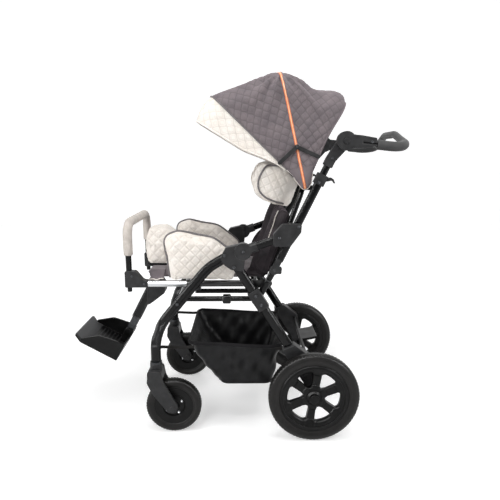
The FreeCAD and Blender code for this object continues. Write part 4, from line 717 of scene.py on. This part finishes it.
def hood_tips():
    """Rounded cloth tips over the pin of the bows, with a pale binding round them."""
    pin, reach = np.array(HOOD_PIVOT), 78.0
    ends = [pin + reach * np.array((math.cos(turn), math.sin(turn)))
            for turn in np.radians((FRONT_BOW - 3, REAR_BOW + 3))]
    low = [pin + (-30, 22), pin + (1, -17), pin + (20, 14)]
    rim = bent([ends[0], *low, ends[1]], (26, 16, 26), 3.0)
    middle = (ends[0] + ends[1] + pin) / 3
    rings = []
    for share, lift in ((1.0, 0.0), (0.97, 0.8), (0.8, 1.2), (0.45, 1.3), (0.05, 1.3)):
        rings.append(upright(middle + (rim - middle) * share, HOOD_HALF + 0.2 + lift))
    spots, faces = np.concatenate(rings), grid_faces(len(rings), len(rim), wrap=True)
    faces.append(tuple(range((len(rings) - 1) * len(rim), len(rings) * len(rim))))
    tips = piece("hood_tips", *both_sides(spots, faces), HOOD_CLOTH, slot="hood_cloth")
    settle(tips, "SOLIDIFY", thickness=0.8 * MM, offset=-1.0)
    # The binding stops short of both bows, which fold towards each other
    rim = rim[9:-9]
    edge, away = upright(rim, HOOD_HALF + 0.6), upright(rim - middle, 0)
    binding = piece("hood_tip_binding", *both_sides(*sweep(edge, away, oval(2.6, 2.6))), PALE_TAPE,
                    slot="cream_cloth")
    for obj in (tips, binding):
        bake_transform(obj)


def soft_start(node, finish, inset, voxel):
    """Copy of a CAD pad with an even mesh, drawn in a little so that it can swell."""
    obj = placed("soft_" + node, frame["nodes"][node].data.copy())
    obj.data.materials.clear()
    obj.data.materials.append(finish)
    settle(obj, "WELD", merge_threshold=0.02 * MM)
    settle(obj, "REMESH", mode="VOXEL", voxel_size=voxel * MM, use_smooth_shade=True)
    settle(obj, "SMOOTH", factor=0.5, iterations=3)
    move_to(obj, coordinates(obj) - coordinates(obj, "normal") * inset * MM)
    return obj


def swell(pads, caps):
    """Blow up all pads together by cloth simulation; no point moves further than its pad's cap."""
    starts = [coordinates(pad) for pad in pads]
    last_frame = 20
    for pad in pads:
        modifier = pad.modifiers.new("Swell", "CLOTH")
        settings = modifier.settings
        settings.quality = 4
        settings.mass = 0.2
        settings.tension_stiffness = settings.compression_stiffness = 12
        settings.bending_stiffness = 0.4
        settings.use_pressure = True
        settings.uniform_pressure_force = 4
        settings.effector_weights.gravity = 0
        modifier.point_cache.frame_start = 1
        modifier.point_cache.frame_end = last_frame
    for number in range(1, last_frame + 1):
        bpy.context.scene.frame_set(number)
    graph = bpy.context.evaluated_depsgraph_get()
    swollen = [coordinates(pad.evaluated_get(graph)) for pad in pads]
    for pad, start, end, cap in zip(pads, starts, swollen, caps):
        pad.modifiers.clear()
        step = end - start
        length = np.linalg.norm(step, axis=1, keepdims=True)
        move_to(pad, start + step * np.minimum(1, cap * MM / np.maximum(length, 1e-9)))
    bpy.context.scene.frame_set(1)


def fit_to(obj, node, below):
    """Stretch a swollen pad to the box of its CAD solid, or to a top that lies some millimetres below it."""
    low, high = (np.array(corner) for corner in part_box(node))
    high[2] -= below * MM
    points = coordinates(obj)
    least, most = points.min(0), points.max(0)
    move_to(obj, low + (points - least) * (high - low) / (most - least))


def quilt_pad(obj, depth, axes, sides_only=False):
    """Sew diamonds into a pad; each side takes the two of its own axes that lie flat on it."""
    points, normals = millimetres(coordinates(obj)), coordinates(obj, "normal")
    axes = np.array(axes, float)
    own, facing = points @ axes.T, np.abs(normals @ axes.T)
    order = np.argsort(-facing, axis=1)
    rows = np.arange(len(points))
    clear = ease(facing[rows, order[:, 0]] - facing[rows, order[:, 1]], 0.12, 0.4)
    if sides_only:
        clear = clear * ease(facing[:, 1], 0.55, 0.85)
    flat = np.sort(order[:, 1:], axis=1)
    u, v, near = sewn_lines(own[rows, flat[:, 0]], own[rows, flat[:, 1]], QUILT_CELL)
    relief = -depth * np.exp(-(near / PAD_SEW_WIDTH)**2) * clear
    move_to(obj, metres(points + normals * relief[:, None]))
    keep_lines(obj, u, v, clear)


def surface(obj):
    """Search tree of a mesh object."""
    mesh = obj.data
    mesh.calc_loop_triangles()
    corners = [tuple(triangle.vertices) for triangle in mesh.loop_triangles]
    return BVHTree.FromPolygons([vertex.co.copy() for vertex in mesh.vertices], corners)


def evened(line, turns):
    """An open line or list of normals, smoothed between its ends."""
    for _ in range(turns):
        line = line.copy()
        line[1:-1] = line[1:-1] / 2 + (line[:-2] + line[2:]) / 4
    return line


def welt(obj, path, radius, turns):
    """Piping laid on a pad along a path that is dropped onto its surface and smoothed."""
    tree = surface(obj)
    found = [tree.find_nearest(Vector(point))[:2] for point in metres(path)]
    out = unit(evened(np.array([normal for place, normal in found]), turns))
    line = evened(millimetres([place for place, normal in found]), turns) + out * radius * 0.6
    return sweep(line, out, circle(radius, 10))


def side_welts(name, obj, line, y, radius, turns, finish, body):
    """Piping or binding laid on a pad along a side view line, left and right."""
    parts = [welt(obj, upright(line, side * y), radius, turns) for side in (-1, 1)]
    piece(name, *joined(parts), finish, body, "seat_cloth")


def back_point(rise, lean):
    """Side view point in the backrest's own plane: up along it, and forwards off it."""
    forward = np.array((-BACK_UP[1], BACK_UP[0]))
    return BACK_HINGE + BACK_UP * rise + forward * lean


def pads():
    """Guards, pommel, headrest, seat cushion and backrest: swollen pads with sewing and piping."""
    # Node, finish, inset, mesh size, most swelling and how far the top stays below the solid's
    plan = (("side_guards", CREAM_CLOTH, 4.0, 4.2, 6.0, 8.0), ("pommel", CREAM_CLOTH, 4.0, 4.2, 6.5, 0.0),
            ("headrest", CREAM_CLOTH, 4.0, 4.2, 6.0, 0.0), ("seat_cushion", SEAT_CLOTH, 3.0, 6.0, 5.0, 0.0),
            ("back_pad", BACK_CLOTH, 4.0, 5.0, 7.0, 0.0))
    soft = {row[0]: soft_start(*row[:4]) for row in plan}
    swell(list(soft.values()), [row[4] for row in plan])
    for (node, *rest, below), obj in zip(plan, soft.values()):
        settle(obj, "SUBSURF", levels=1)
        fit_to(obj, node, below)
        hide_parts(node)
    forward = np.array((-BACK_UP[1], 0, BACK_UP[0]))
    level = np.eye(3)
    quilt_pad(soft["side_guards"], 1.5, level, sides_only=True)
    quilt_pad(soft["pommel"], 1.6, level)
    quilt_pad(soft["headrest"], 1.5, (forward, (0, 1, 0), middle_of(BACK_UP)))
    pleats(soft["back_pad"], forward)
    for node, body, slot in (("side_guards", "chassis", "cream_cloth"),
                             ("pommel", "chassis", "cream_cloth"),
                             ("headrest", "head_support", "cream_cloth"),
                             ("seat_cushion", "chassis", "seat_cloth"),
                             ("back_pad", "backrest", "seat_cloth")):
        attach(soft[node], body)
    guard_piping(soft["side_guards"])
    headrest_piping(soft["headrest"])
    back_binding(soft["back_pad"])
    back_gussets()
    pommel_base()
    seat_cover()


def pleats(obj, forward):
    """Side bolsters and loose upright folds in the backrest's cover."""
    points, normals = millimetres(coordinates(obj)), coordinates(obj, "normal")
    off = points - middle_of(BACK_HINGE)
    rise, lean, y = off @ middle_of(BACK_UP), off @ forward, points[:, 1]
    wave = np.sin(y / 8.0 + 1.3 * np.sin(rise / 42.0)) + 0.6 * np.sin(y / 14.0 - rise / 60.0)
    facing = ease(normals @ forward, 0.1, 0.7)
    front_fold, side_fold = 2.6, 2.4
    bolster = BOLSTER * ease(np.abs(y), 96, 146) * np.clip((lean - 12) / 30, 0, 1)
    points = points + forward * (bolster - front_fold * (1.6 - wave) * facing)[:, None]
    side = ease(np.abs(normals[:, 1]), 0.45, 0.9) * np.sign(points[:, 1])
    fold = np.sin(lean / 6.5 + 1.6 * np.sin(rise / 38.0) + rise / 90.0)
    fold = fold + 0.5 * np.sin(lean / 3.6 - rise / 30.0)
    points[:, 1] -= side * side_fold * (1.5 + fold)
    move_to(obj, metres(points))


def guard_piping(obj):
    """Dark piping round each side guard, above the rail."""
    rail_top = 529
    edge = closed_outline(GUARD_EDGE, GUARD_ROUND, 5.0)
    centre = edge.mean(0)
    wide = centre + (edge - centre) * 1.05
    start = int(np.argmin(np.hypot(edge[:, 0] + 56, edge[:, 1] - 530)))
    wide = np.roll(wide, -start, axis=0)
    wide = wide[wide[:, 1] > rail_top]
    side_welts("guard_piping", obj, wide, GUARD_MID, 3.8, 6, DARK_PIPING, "chassis")


def headrest_piping(obj):
    """Dark piping on the outer face of each wing, with the edge band in front of it."""
    line = np.array([back_point(*spot) for spot in bent(WING_SEAM, (40, 30, 30, 34), 4.0)])
    side_welts("headrest_piping", obj, line, HEADREST_HALF + 4, 3.2, 10, DARK_PIPING, "head_support")


def back_binding(obj):
    """Pale binding down both front edges of the backrest's cover."""
    line = np.array([back_point(rise, 34 + BOLSTER) for rise in np.linspace(120, 246, 40)])
    side_welts("back_binding", obj, line, 162.0, 1.7, 40, PALE_TAPE, "backrest")


def back_gussets():
    """Dark cloth gussets that close the corner between seat and backrest on either side."""
    corner, near, y = (62.0, 528.0), 10.0, 147.0
    share, reach = np.linspace(0, 1, 57)[:, None], np.linspace(0, 1, 37)[None, :]
    turn = np.radians(171 - 95 * share)
    far = 80 + 66 * ease(share, 0.1, 1.0) - 20 * np.sin(math.pi * share)
    radius = near + (far - near) * reach
    x, z = corner[0] + radius * np.cos(turn), corner[1] + radius * np.sin(turn)
    folds = 3.0 * np.sin(share * 24 + reach) * reach**0.6
    for name, side in (("left", -1), ("right", 1)):
        points = np.stack((x, side * (y + folds), z), -1)
        obj = piece(name + "_back_gusset", points.reshape(-1, 3), grid_faces(*x.shape), BACK_CLOTH)
        settle(obj, "SOLIDIFY", thickness=1.0 * MM, offset=0.0)
        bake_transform(obj)


def pommel_base():
    """Dark strip round the foot of the pommel."""
    front, rear, half, corner, height = -370, -288, 50, 16, 555.0
    ring = closed_outline([(front, half), (rear, half), (rear, -half), (front, -half)], (corner,) * 4, 4.0)
    path = np.column_stack((ring, np.full(len(ring), height)))
    strip = sweep(path, (path - path.mean(0)) * (1, 1, 0), oval(8.0, 3.4), loop=True)
    piece("pommel_base_strip", *strip, HEM_TAPE, "chassis", "seat_cloth")


def seat_cover():
    """Cloth flap over the front of the seat cushion, drooping to the rails, with a pale bound edge."""
    half, rows, columns = 161.0, 33, 97
    front, rear, set_back = -353.0, -292.0, 13.0
    top, under_pommel, drop, lip = 552.2, 550.5, 25.4, 9.0
    across = np.linspace(-half, half, columns)
    side = ease(np.abs(across), 118, half)
    front = front + set_back * ease(np.abs(across), 112, 146)
    share = np.linspace(0, 1, rows)[:, None]
    x = front + (rear - front) * share
    z = top - drop * side * (1 - 0.06 * np.sin(share * 9.0))
    z = z - lip * (1 - ease(share, 0.0, 0.2)) * (1 - side)
    z = z + 0.8 * np.sin(across / 11.0 + share * 4) * side
    z = np.where(np.abs(across) < POMMEL_HALF + 4, np.minimum(z, under_pommel), z)
    points = np.stack((x, across + 0 * x, z), -1)
    obj = piece("seat_front_cover", points.reshape(-1, 3), grid_faces(rows, columns), SEAT_CLOTH, "chassis",
                "seat_cloth")
    face_up(obj, (-320.0, 300.0))
    settle(obj, "SOLIDIFY", thickness=1.0 * MM, offset=-1.0)
    parts = [sweep(points[:, number], (0, out, 0), oval(3.6, 3.0)) for number, out in ((0, -1), (-1, 1))]
    piece("seat_cover_binding", *joined(parts), PALE_TAPE, "chassis", "cream_cloth")


def basket_ring(t):
    """Creased outline of the basket at a share of its height, sagging towards its top."""
    share = 1.48 * t - 0.48 * t * t
    front, rear = (a + (b - a) * share for a, b in zip(BASKET_FLOOR_X, BASKET_TOP_X))
    half = BASKET_HALF - BASKET_INSET * (1 - share)
    ring = closed_outline([(front, -half), (rear, -half), (rear, half), (front, half)], (30, 30, 30, 30), 1.0)
    ring = ring[np.linspace(0, len(ring), BASKET_SIDES, endpoint=False).astype(int)]
    away = unit(ring - ring.mean(0))
    along = np.arctan2(away[:, 1] * 0.8, away[:, 0])
    creases = (np.sin(ring[:, 0] / 19 + 8 * t) + 0.8 * np.sin(ring[:, 0] / 9 - 10 * t + along)
               + 0.6 * np.sin(along * 15 + 4 * t))
    inward = BASKET_CREASE * (creases - 2.4) * (t * (1 - t) * 4)**0.7
    ring = ring + away * inward[:, None]
    sag = 7.0 * ease(t, 0.55, 1.0) * (np.abs(np.cos(2 * along)) ** 0.5) * 0.8
    droop = ease(t, 0.4, 1.0) * ease(ring[:, 0], -120, 90) * ease(np.abs(away[:, 1]), 0.3, 0.7)
    height = BASKET_FLOOR + (BASKET_TOP - BASKET_FLOOR) * t - sag - BASKET_DROOP * droop
    return np.column_stack((ring, height))


def basket():
    """Cloth basket that narrows to its floor, with soft creases, a hem and four webbing straps."""
    rings = [basket_ring(t) for t in np.linspace(0, 1, BASKET_ROWS)]
    base, seam, rim = rings[0], rings[2], rings[-1]
    floor = []
    for share in (0.1, 0.35, 0.6, 0.8, 0.93):
        spots = base.mean(0) + (base - base.mean(0)) * share
        spots[:, 2] -= 1.5 * (1 - share * share)
        floor.append(spots)
    faces = grid_faces(len(floor) + BASKET_ROWS, BASKET_SIDES, wrap=True)
    faces.append(tuple(range(BASKET_SIDES)))
    obj = piece("basket_bag", np.concatenate(floor + rings), faces, BASKET_CLOTH, "chassis", "basket_cloth")
    settle(obj, "SOLIDIFY", thickness=1.4 * MM, offset=-1.0)
    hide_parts("basket")
    hem = sweep(rim, (rim - rim.mean(0)) * (1, 1, 0), oval(13.0, 3.4), loop=True)
    piece("basket_hem", *hem, HEM_TAPE, "chassis", "basket_cloth")
    seam = seam + unit((seam - seam.mean(0)) * (1, 1, 0)) * 0.6
    seam = sweep(seam, (0, 0, -1), oval(3.0, 2.4), loop=True)
    piece("basket_floor_seam", *seam, HEM_TAPE, "chassis", "basket_cloth")
    straps()


def straps():
    """Webbing straps from the basket's top corners to the legs."""
    z = BASKET_TOP - 13.0
    y = BASKET_HALF + 1.8
    parts = []
    for points in ([(-190, y, z), (-230, y, z - 3), (-303, y + 0.6, z), (-310.4, 206.5, z)],
                   [(92, y, z - 9), (108, y, z - 8), (126, y + 0.6, z), (130.6, 202.5, z)]):
        path = bent(points, (40, 7) if points[0][0] < 0 else (20, 5), 3.0)
        out = unit(np.cross(np.gradient(path, axis=0), (0, 0, 1)))
        parts.append(both_sides(*sweep(path, out, oval(11.0, 2.2, 16))))
    piece("basket_straps", *joined(parts), WEBBING, "chassis", "basket_cloth")


def sleeves():
    """Foam on the grab bar and on the arched handle."""
    right = [(BUMPER_X, RAIL_Y, BUMPER_FOAM_LOW), (BUMPER_X, RAIL_Y, BUMPER_LINE)]
    points = right + [(x, -y, z) for x, y, z in reversed(right)]
    path = bent(points, (BUMPER_BEND, BUMPER_BEND), SLEEVE_STEP)
    foam_sleeve("grab_bar_foam", path, (1, 0, 0), BUMPER_FOAM_R, GREY_FOAM, "grab_bar", "bumper_foam")
    points = list(GRIP_POINTS) + [(x, -y, z) for x, y, z in reversed(GRIP_POINTS)]
    path = bent(points, GRIP_BENDS, SLEEVE_STEP)
    foam_sleeve("handle_grip_foam", path, (0, 0, 1), GRIP_R, GRIP_FOAM, "handle", "handle_grip", slim=0.8)


def foam_sleeve(name, path, out, radius, finish, body, node, slim=1.0):
    """Round foam sleeve with soft ends and slight unevenness; it slims towards the middle of the bar."""
    number = np.arange(len(path))
    from_end = np.minimum(number, number[::-1]) * SLEEVE_STEP
    dome = np.sqrt(np.clip(1 - (1 - np.clip(from_end / 4.0, 0, 1))**2 * 0.25, 0, 1))
    wave = 1 + 0.006 * np.sin(number * 0.45) + 0.004 * np.sin(number * 1.1)
    wave = wave * (slim + (1 - slim) * ease(np.abs(path[:, 1]), 110, 200))
    obj = piece(name, *sweep(path, out, circle(radius, 28), sizes=dome * wave), finish, body, "grey_foam")
    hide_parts(node)


def tyre(node, body, centre, half_width, top, height, shoulder, pitch, bead, bends):
    """Moulded tyre with a grooved tread and sidewall rings."""
    middle = sum(corner.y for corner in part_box(node)) / 2 / MM
    tread_depth, ring_depth, groove_at = 2.2, 0.7, half_width * 0.3
    inset = (bead, 0, bead + 1, bead + 1, 0, bead)
    heights = (top - height, top - shoulder, top, top, top - shoulder, top - height)
    profile = [(r, s * (half_width - i)) for r, s, i in zip(heights, (-1, -1, -1, 1, 1, 1), inset)]
    edge = bent(profile, bends, 1.7)
    count = int(2 * math.pi * top / (pitch / 4)) // 4 * 4
    rings = []
    for number, turn in enumerate(np.linspace(0, 2 * math.pi, count, endpoint=False)):
        radius, offset = edge[:, 0].copy(), edge[:, 1].copy()
        crown = ease(radius, top - 5, top - 2.5)
        groove = np.exp(-((np.abs(offset) - groove_at) / 1.4)**2)
        block = (number % 4 == 0) * ease(np.abs(offset), groove_at, half_width * 0.36)
        radius -= tread_depth * crown * np.maximum(groove, block)
        ring = sum(np.exp(-((edge[:, 0] - (top - height * share)) / 1.6)**2) for share in (0.42, 0.78))
        offset -= np.sign(offset) * ring_depth * ring
        rings.append(np.column_stack((centre[0] + radius * math.cos(turn), middle + offset,
                                      centre[1] + radius * math.sin(turn))))
    faces = grid_faces(count, len(edge), wrap=True, loop=True)
    obj = piece(body + "_tyre", np.concatenate(rings), faces, TYRE, body, "tyre")
    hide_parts(node)


def tyres():
    """All four tyres."""
    for side in ("left", "right"):
        tyre(side + "_rear_tyre", side + "_rear_wheel", REAR_AXLE, 23.0, 152.0, 36.0, 16.0, 12.0,
             6, (10, 10, 10, 10))
        tyre(side + "_front_tyre", side + "_front_wheel", FRONT_AXLE, 20.0, 95.0, 28.0, 13.0, 10.0,
             5, (8, 9, 9, 8))


def rim_webs():
    """Dished webs of the rear rims: a ring in the flange and one on the hub, rounded towards each spoke."""
    turns = np.linspace(0, 2 * math.pi, RIM_SIDES, endpoint=False)
    off_spoke = np.abs(((turns - math.radians(SPOKE_ANGLE)) * SPOKES / (2 * math.pi)) % 1 - 0.5) * 2
    outer_round, inner_round = (1 - np.sqrt(1 - np.clip((off_spoke - low) / span, 0, 1)**2)
                                for low, span in ((0.42, 0.3), (0.0, 0.4)))
    flange = (89 - 12 * outer_round, np.full(RIM_SIDES, 114.0), (9.5, 10.5, 14.5, 18.5, 18.8))
    hub = (np.full(RIM_SIDES, 23.0), 36 + 8 * inner_round, (12.5, 12.0, 11.0, 10.0, 9.3))
    for name, side in (("left", -1), ("right", 1)):
        middle = sum(corner.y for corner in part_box(name + "_rear_tyre")) / 2 / MM
        parts = []
        for inner, outer, offsets in (flange, hub):
            section = [(share, offset) for share, offset in zip(np.linspace(0, 1, 5), offsets)]
            section += [(share, -offset) for share, offset in reversed(section)]
            rows = []
            for share, offset in section:
                reach = (inner + (outer - inner) * share)[:, None]
                ring = REAR_AXLE + reach * np.column_stack((np.cos(turns), np.sin(turns)))
                rows.append(upright(ring, middle + side * offset))
            parts.append((np.concatenate(rows), grid_faces(len(rows), RIM_SIDES, wrap=True, loop=True)))
        piece(name + "_rim_webs", *joined(parts), RIM, name + "_rear_wheel", "black_rim")


def screw(radius, height):
    """Domed screw head with a six-sided socket, standing on its own base plane: (points, faces)."""
    profile = ((0.05, 0.45), (0.44, 0.45), (0.46, 0.92), (0.62, 1.0), (0.86, 0.84), (0.98, 0.5), (1.0, 0.0))
    sides, sixth = 24, math.pi / 3
    turns = np.linspace(0, 2 * math.pi, sides, endpoint=False)
    socket = np.cos(sixth / 2) / np.cos((turns + sixth / 2) % sixth - sixth / 2)
    rings = []
    for share, lift in profile:
        reach = radius * share * (socket if share < 0.5 else 1.0)
        ring = np.column_stack((reach * np.cos(turns), reach * np.sin(turns)))
        rings.append(upright(ring, lift * height))
    return np.concatenate(rings), grid_faces(len(profile), sides, wrap=True) + [tuple(range(sides))]


def screws(name, body, node, spots, radius=5.0, height=3.0):
    """Screw heads on both outer faces of a node, at side view points."""
    tree = surface(frame["nodes"][node])
    shape, faces = screw(radius, height)
    parts = []
    for point in spots:
        for side in (-1, 1):
            start = metres((point[0], side * 400.0, point[1]))
            place = tree.ray_cast(Vector(start), Vector((0, -side, 0)))[0]
            if place is None:
                raise ValueError(f"no surface for a screw of {name} at {point}")
            parts.append((millimetres(place) - (0, side * 0.2, 0) + shape * (1, side, 1), faces))
    piece(name, *joined(parts), DARK_STEEL, body, "bright_steel")


def wheel_bolts():
    """Three bright bolts on each face of the front rims."""
    shape, faces = screw(4.6, 4.0)
    bolt_circle = 31
    for side in ("left", "right"):
        tree = surface(frame["nodes"][side + "_front_rim"])
        middle = sum(corner.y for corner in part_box(side + "_front_rim")) / 2
        parts = []
        for turn in np.radians((28, -58, 218)):
            start = metres((FRONT_AXLE[0] + bolt_circle * math.cos(turn), 0,
                            FRONT_AXLE[1] + bolt_circle * math.sin(turn)))
            for face in (-1, 1):
                start[1] = middle + face * 0.1
                place = tree.ray_cast(Vector(start), Vector((0, -face, 0)))[0]
                parts.append((millimetres(place) + shape * (1, face, 1), faces))
        piece(side + "_wheel_bolts", *joined(parts), STEEL, side + "_front_wheel", "bright_steel")


def frame_screws():
    """Screw heads where the photograph's bright dots are."""
    screws("rear_cover_screws", "armrests", "rear_joint_covers", ((98, 680), (160, 716)))
    screws("clamp_screws", "push_frame", "height_clamps", ((225, 856),))
    screws("base_screws", "handle_mast", "handle_bases", ((266, 933),), 4.2)
    screws("handle_arm_screws", "handle", "handle_arms", ((386, 983),), 4.2)
    screws("stay_screws", "stay_rear", "stay_rear_arms", ((153, 969),), 3.6, 2.0)
    screws("socket_screws", "chassis", "bumper_sockets", ((BUMPER_X + 12, 541), (BUMPER_X + 52, 514)),
           3.6, 2.4)
    screws("elbow_screws", "push_frame", "elbow_blocks", ((84, 565),), 5.0, 1.0)
    screws("fastener_screws", "chassis", "frame_fasteners",
           ((-20, 635), (-50, 583), (-80, 623), (21, 486), (40, 455), FRONT_CROSS), 4.2, 2.4)


def sole_point(forward, rise):
    """Side view point in the footplate's plane, from the heel's lowest corner."""
    forward, rise = forward - HEEL_BACK, rise - HEEL_DROP
    cos, sin = math.cos(SOLE_ANGLE), math.sin(SOLE_ANGLE)
    return (FOOT_PIVOT[0] - forward * cos + rise * sin, FOOT_PIVOT[1] + forward * sin + rise * cos)


def footplate_trim():
    """Grey rubber along the turned-up toe and raised ribs on the sole."""
    toe = SOLE_LENGTH + TOE_LENGTH
    section = [(SOLE_LENGTH - 26, 7.0), (SOLE_LENGTH - 1, 7.8), (toe - 5, TOE_RISE + 6.6),
               (toe + 1, TOE_RISE + 3.5), (toe + 1.6, TOE_RISE - 1), (toe - 1, TOE_RISE + 1),
               (toe - 5.5, TOE_RISE + 4.2), (SOLE_LENGTH - 1, 5.2), (SOLE_LENGTH - 26, 5.2)]
    line = np.array([sole_point(*spot) for spot in section])
    across = np.linspace(-FOOT_HALF + 7, FOOT_HALF - 7, 24)
    points = np.concatenate([upright(line, y) for y in across])
    faces = grid_faces(len(across), len(line), wrap=True) + end_faces(len(across), len(line))
    piece("toe_rubber", points, faces, TOE_RUBBER, "foot_tray", "dark_plastic")
    count = 30
    number = np.arange(count)
    size = np.sqrt(np.clip(np.minimum(number, number[::-1]) / 1.5 + 0.15, 0, 1))
    out = (math.sin(SOLE_ANGLE), 0, math.cos(SOLE_ANGLE))
    parts = []
    for forward in np.arange(28, 112, 14.0):
        x, z = sole_point(forward, 6.4)
        path = [(x, y, z) for y in np.linspace(-88, 88, count)]
        parts.append(sweep(path, out, oval(5.0, 3.6, 10), sizes=size))
    piece("sole_ribs", *joined(parts), NYLON, "foot_tray", "dark_plastic")


def lamp(name, place, size, power, gloss_only=False):
    """An area lamp turned to the middle of the stroller."""
    light = bpy.data.lights.new(name, "AREA")
    light.shape = "RECTANGLE"
    light.energy = power
    light.size, light.size_y = size
    obj = placed(name, light)
    obj.location = place
    obj.rotation_euler = (Vector(LAMP_AIM) - Vector(place)).to_track_quat("-Z", "Y").to_euler()
    obj.visible_diffuse = not gloss_only


def stage():
    """Pale floor, soft studio light and the photograph's camera."""
    scene = bpy.context.scene
    scene.view_settings.view_transform = "Standard"
    mesh = bpy.data.meshes.new("floor")
    corners = [(-9, -6, 0), (9, -6, 0), (9, 5, 0), (-9, 5, 0), (9, 5, 7), (-9, 5, 7)]
    mesh.from_pydata(corners, [], [(0, 1, 2, 3), (3, 2, 4, 5)])
    floor = placed("floor", mesh)
    floor.data.materials.append(floor_paper())
    sky()
    lamp("left", (-1.9, -1.1, 1.1), (0.7, 1.3), 16)
    lamp("front", (-0.9, -2.6, 2.2), (0.6, 1.0), 25)
    lamp("overhead", (0.2, -0.4, 2.6), (2.0, 0.5), 26)
    lamp("right", (2.0, -1.2, 1.3), (0.6, 1.2), 13)
    lamp("back", (0.6, 2.2, 2.4), (1.6, 0.8), 14)
    # Narrow strips for reflections alone: lines of light along the gloss enamel, little on dull cloth
    lamp("left_strip", (-1.9, -1.3, 1.1), (0.25, 1.4), 40, gloss_only=True)
    lamp("corner_strip", (-1.4, -1.9, 2.1), (0.25, 1.4), 40, gloss_only=True)
    lamp("top_strip", (0.0, -1.7, 2.6), (1.8, 0.25), 52, gloss_only=True)
    lamp("right_strip", (2.0, -1.4, 1.4), (0.25, 1.4), 40, gloss_only=True)
    camera = bpy.data.cameras.new("camera")
    camera.lens = CAMERA_LENS
    camera.sensor_width = 36.0
    view = placed("camera", camera)
    view.location = (CAMERA_X, CAMERA_Y, CAMERA_Z)
    view.rotation_euler = (math.pi / 2 - CAMERA_DOWN, 0, -CAMERA_TURN)
    scene.camera = view


def floor_paper():
    # White paper sweep: dull, and lifted to white for the camera so that only the shadow shows
    material, tree, shader = new_finish("white_paper", {"Base Color": linear("#e9e9e9"), "Roughness": 0.95,
                                                        "IOR": 1.3})
    rays = add(tree, "LightPath").outputs
    seen = rays["Is Camera Ray"]
    for ray in ("Is Glossy Ray", "Is Transmission Ray"):
        seen = add(tree, "Math", {0: seen, 1: rays[ray]}, operation="MAXIMUM").outputs[0]
    place = add(tree, "NewGeometry").outputs["Position"]
    far = add(tree, "VectorMath", {0: place}, operation="LENGTH").outputs["Value"]
    lift = add(tree, "MapRange", {"Value": far, "From Min": 0.7, "From Max": 2.4, "To Min": 0.4,
                                  "To Max": 0.66}).outputs[0]
    lifted = add(tree, "Emission", {"Color": (1, 1, 1, 1), "Strength": lift})
    total = add(tree, "AddShader", {0: shader.outputs[0], 1: lifted.outputs[0]})
    mix = add(tree, "MixShader", {0: seen, 1: shader.outputs[0], 2: total.outputs[0]})
    tree.links.new(mix.outputs[0], tree.nodes["Material Output"].inputs[0])
    return material


def sky():
    """World: soft even light from all round."""
    world = bpy.data.worlds.new("studio")
    bpy.context.scene.world = world
    world.use_nodes = True
    background = world.node_tree.nodes["Background"]
    background.inputs["Color"].default_value = (1, 1, 1, 1)
    background.inputs["Strength"].default_value = 0.4


dress_frame()
hood()
pads()
basket()
sleeves()
tyres()
rim_webs()
frame_screws()
wheel_bolts()
footplate_trim()
stage()
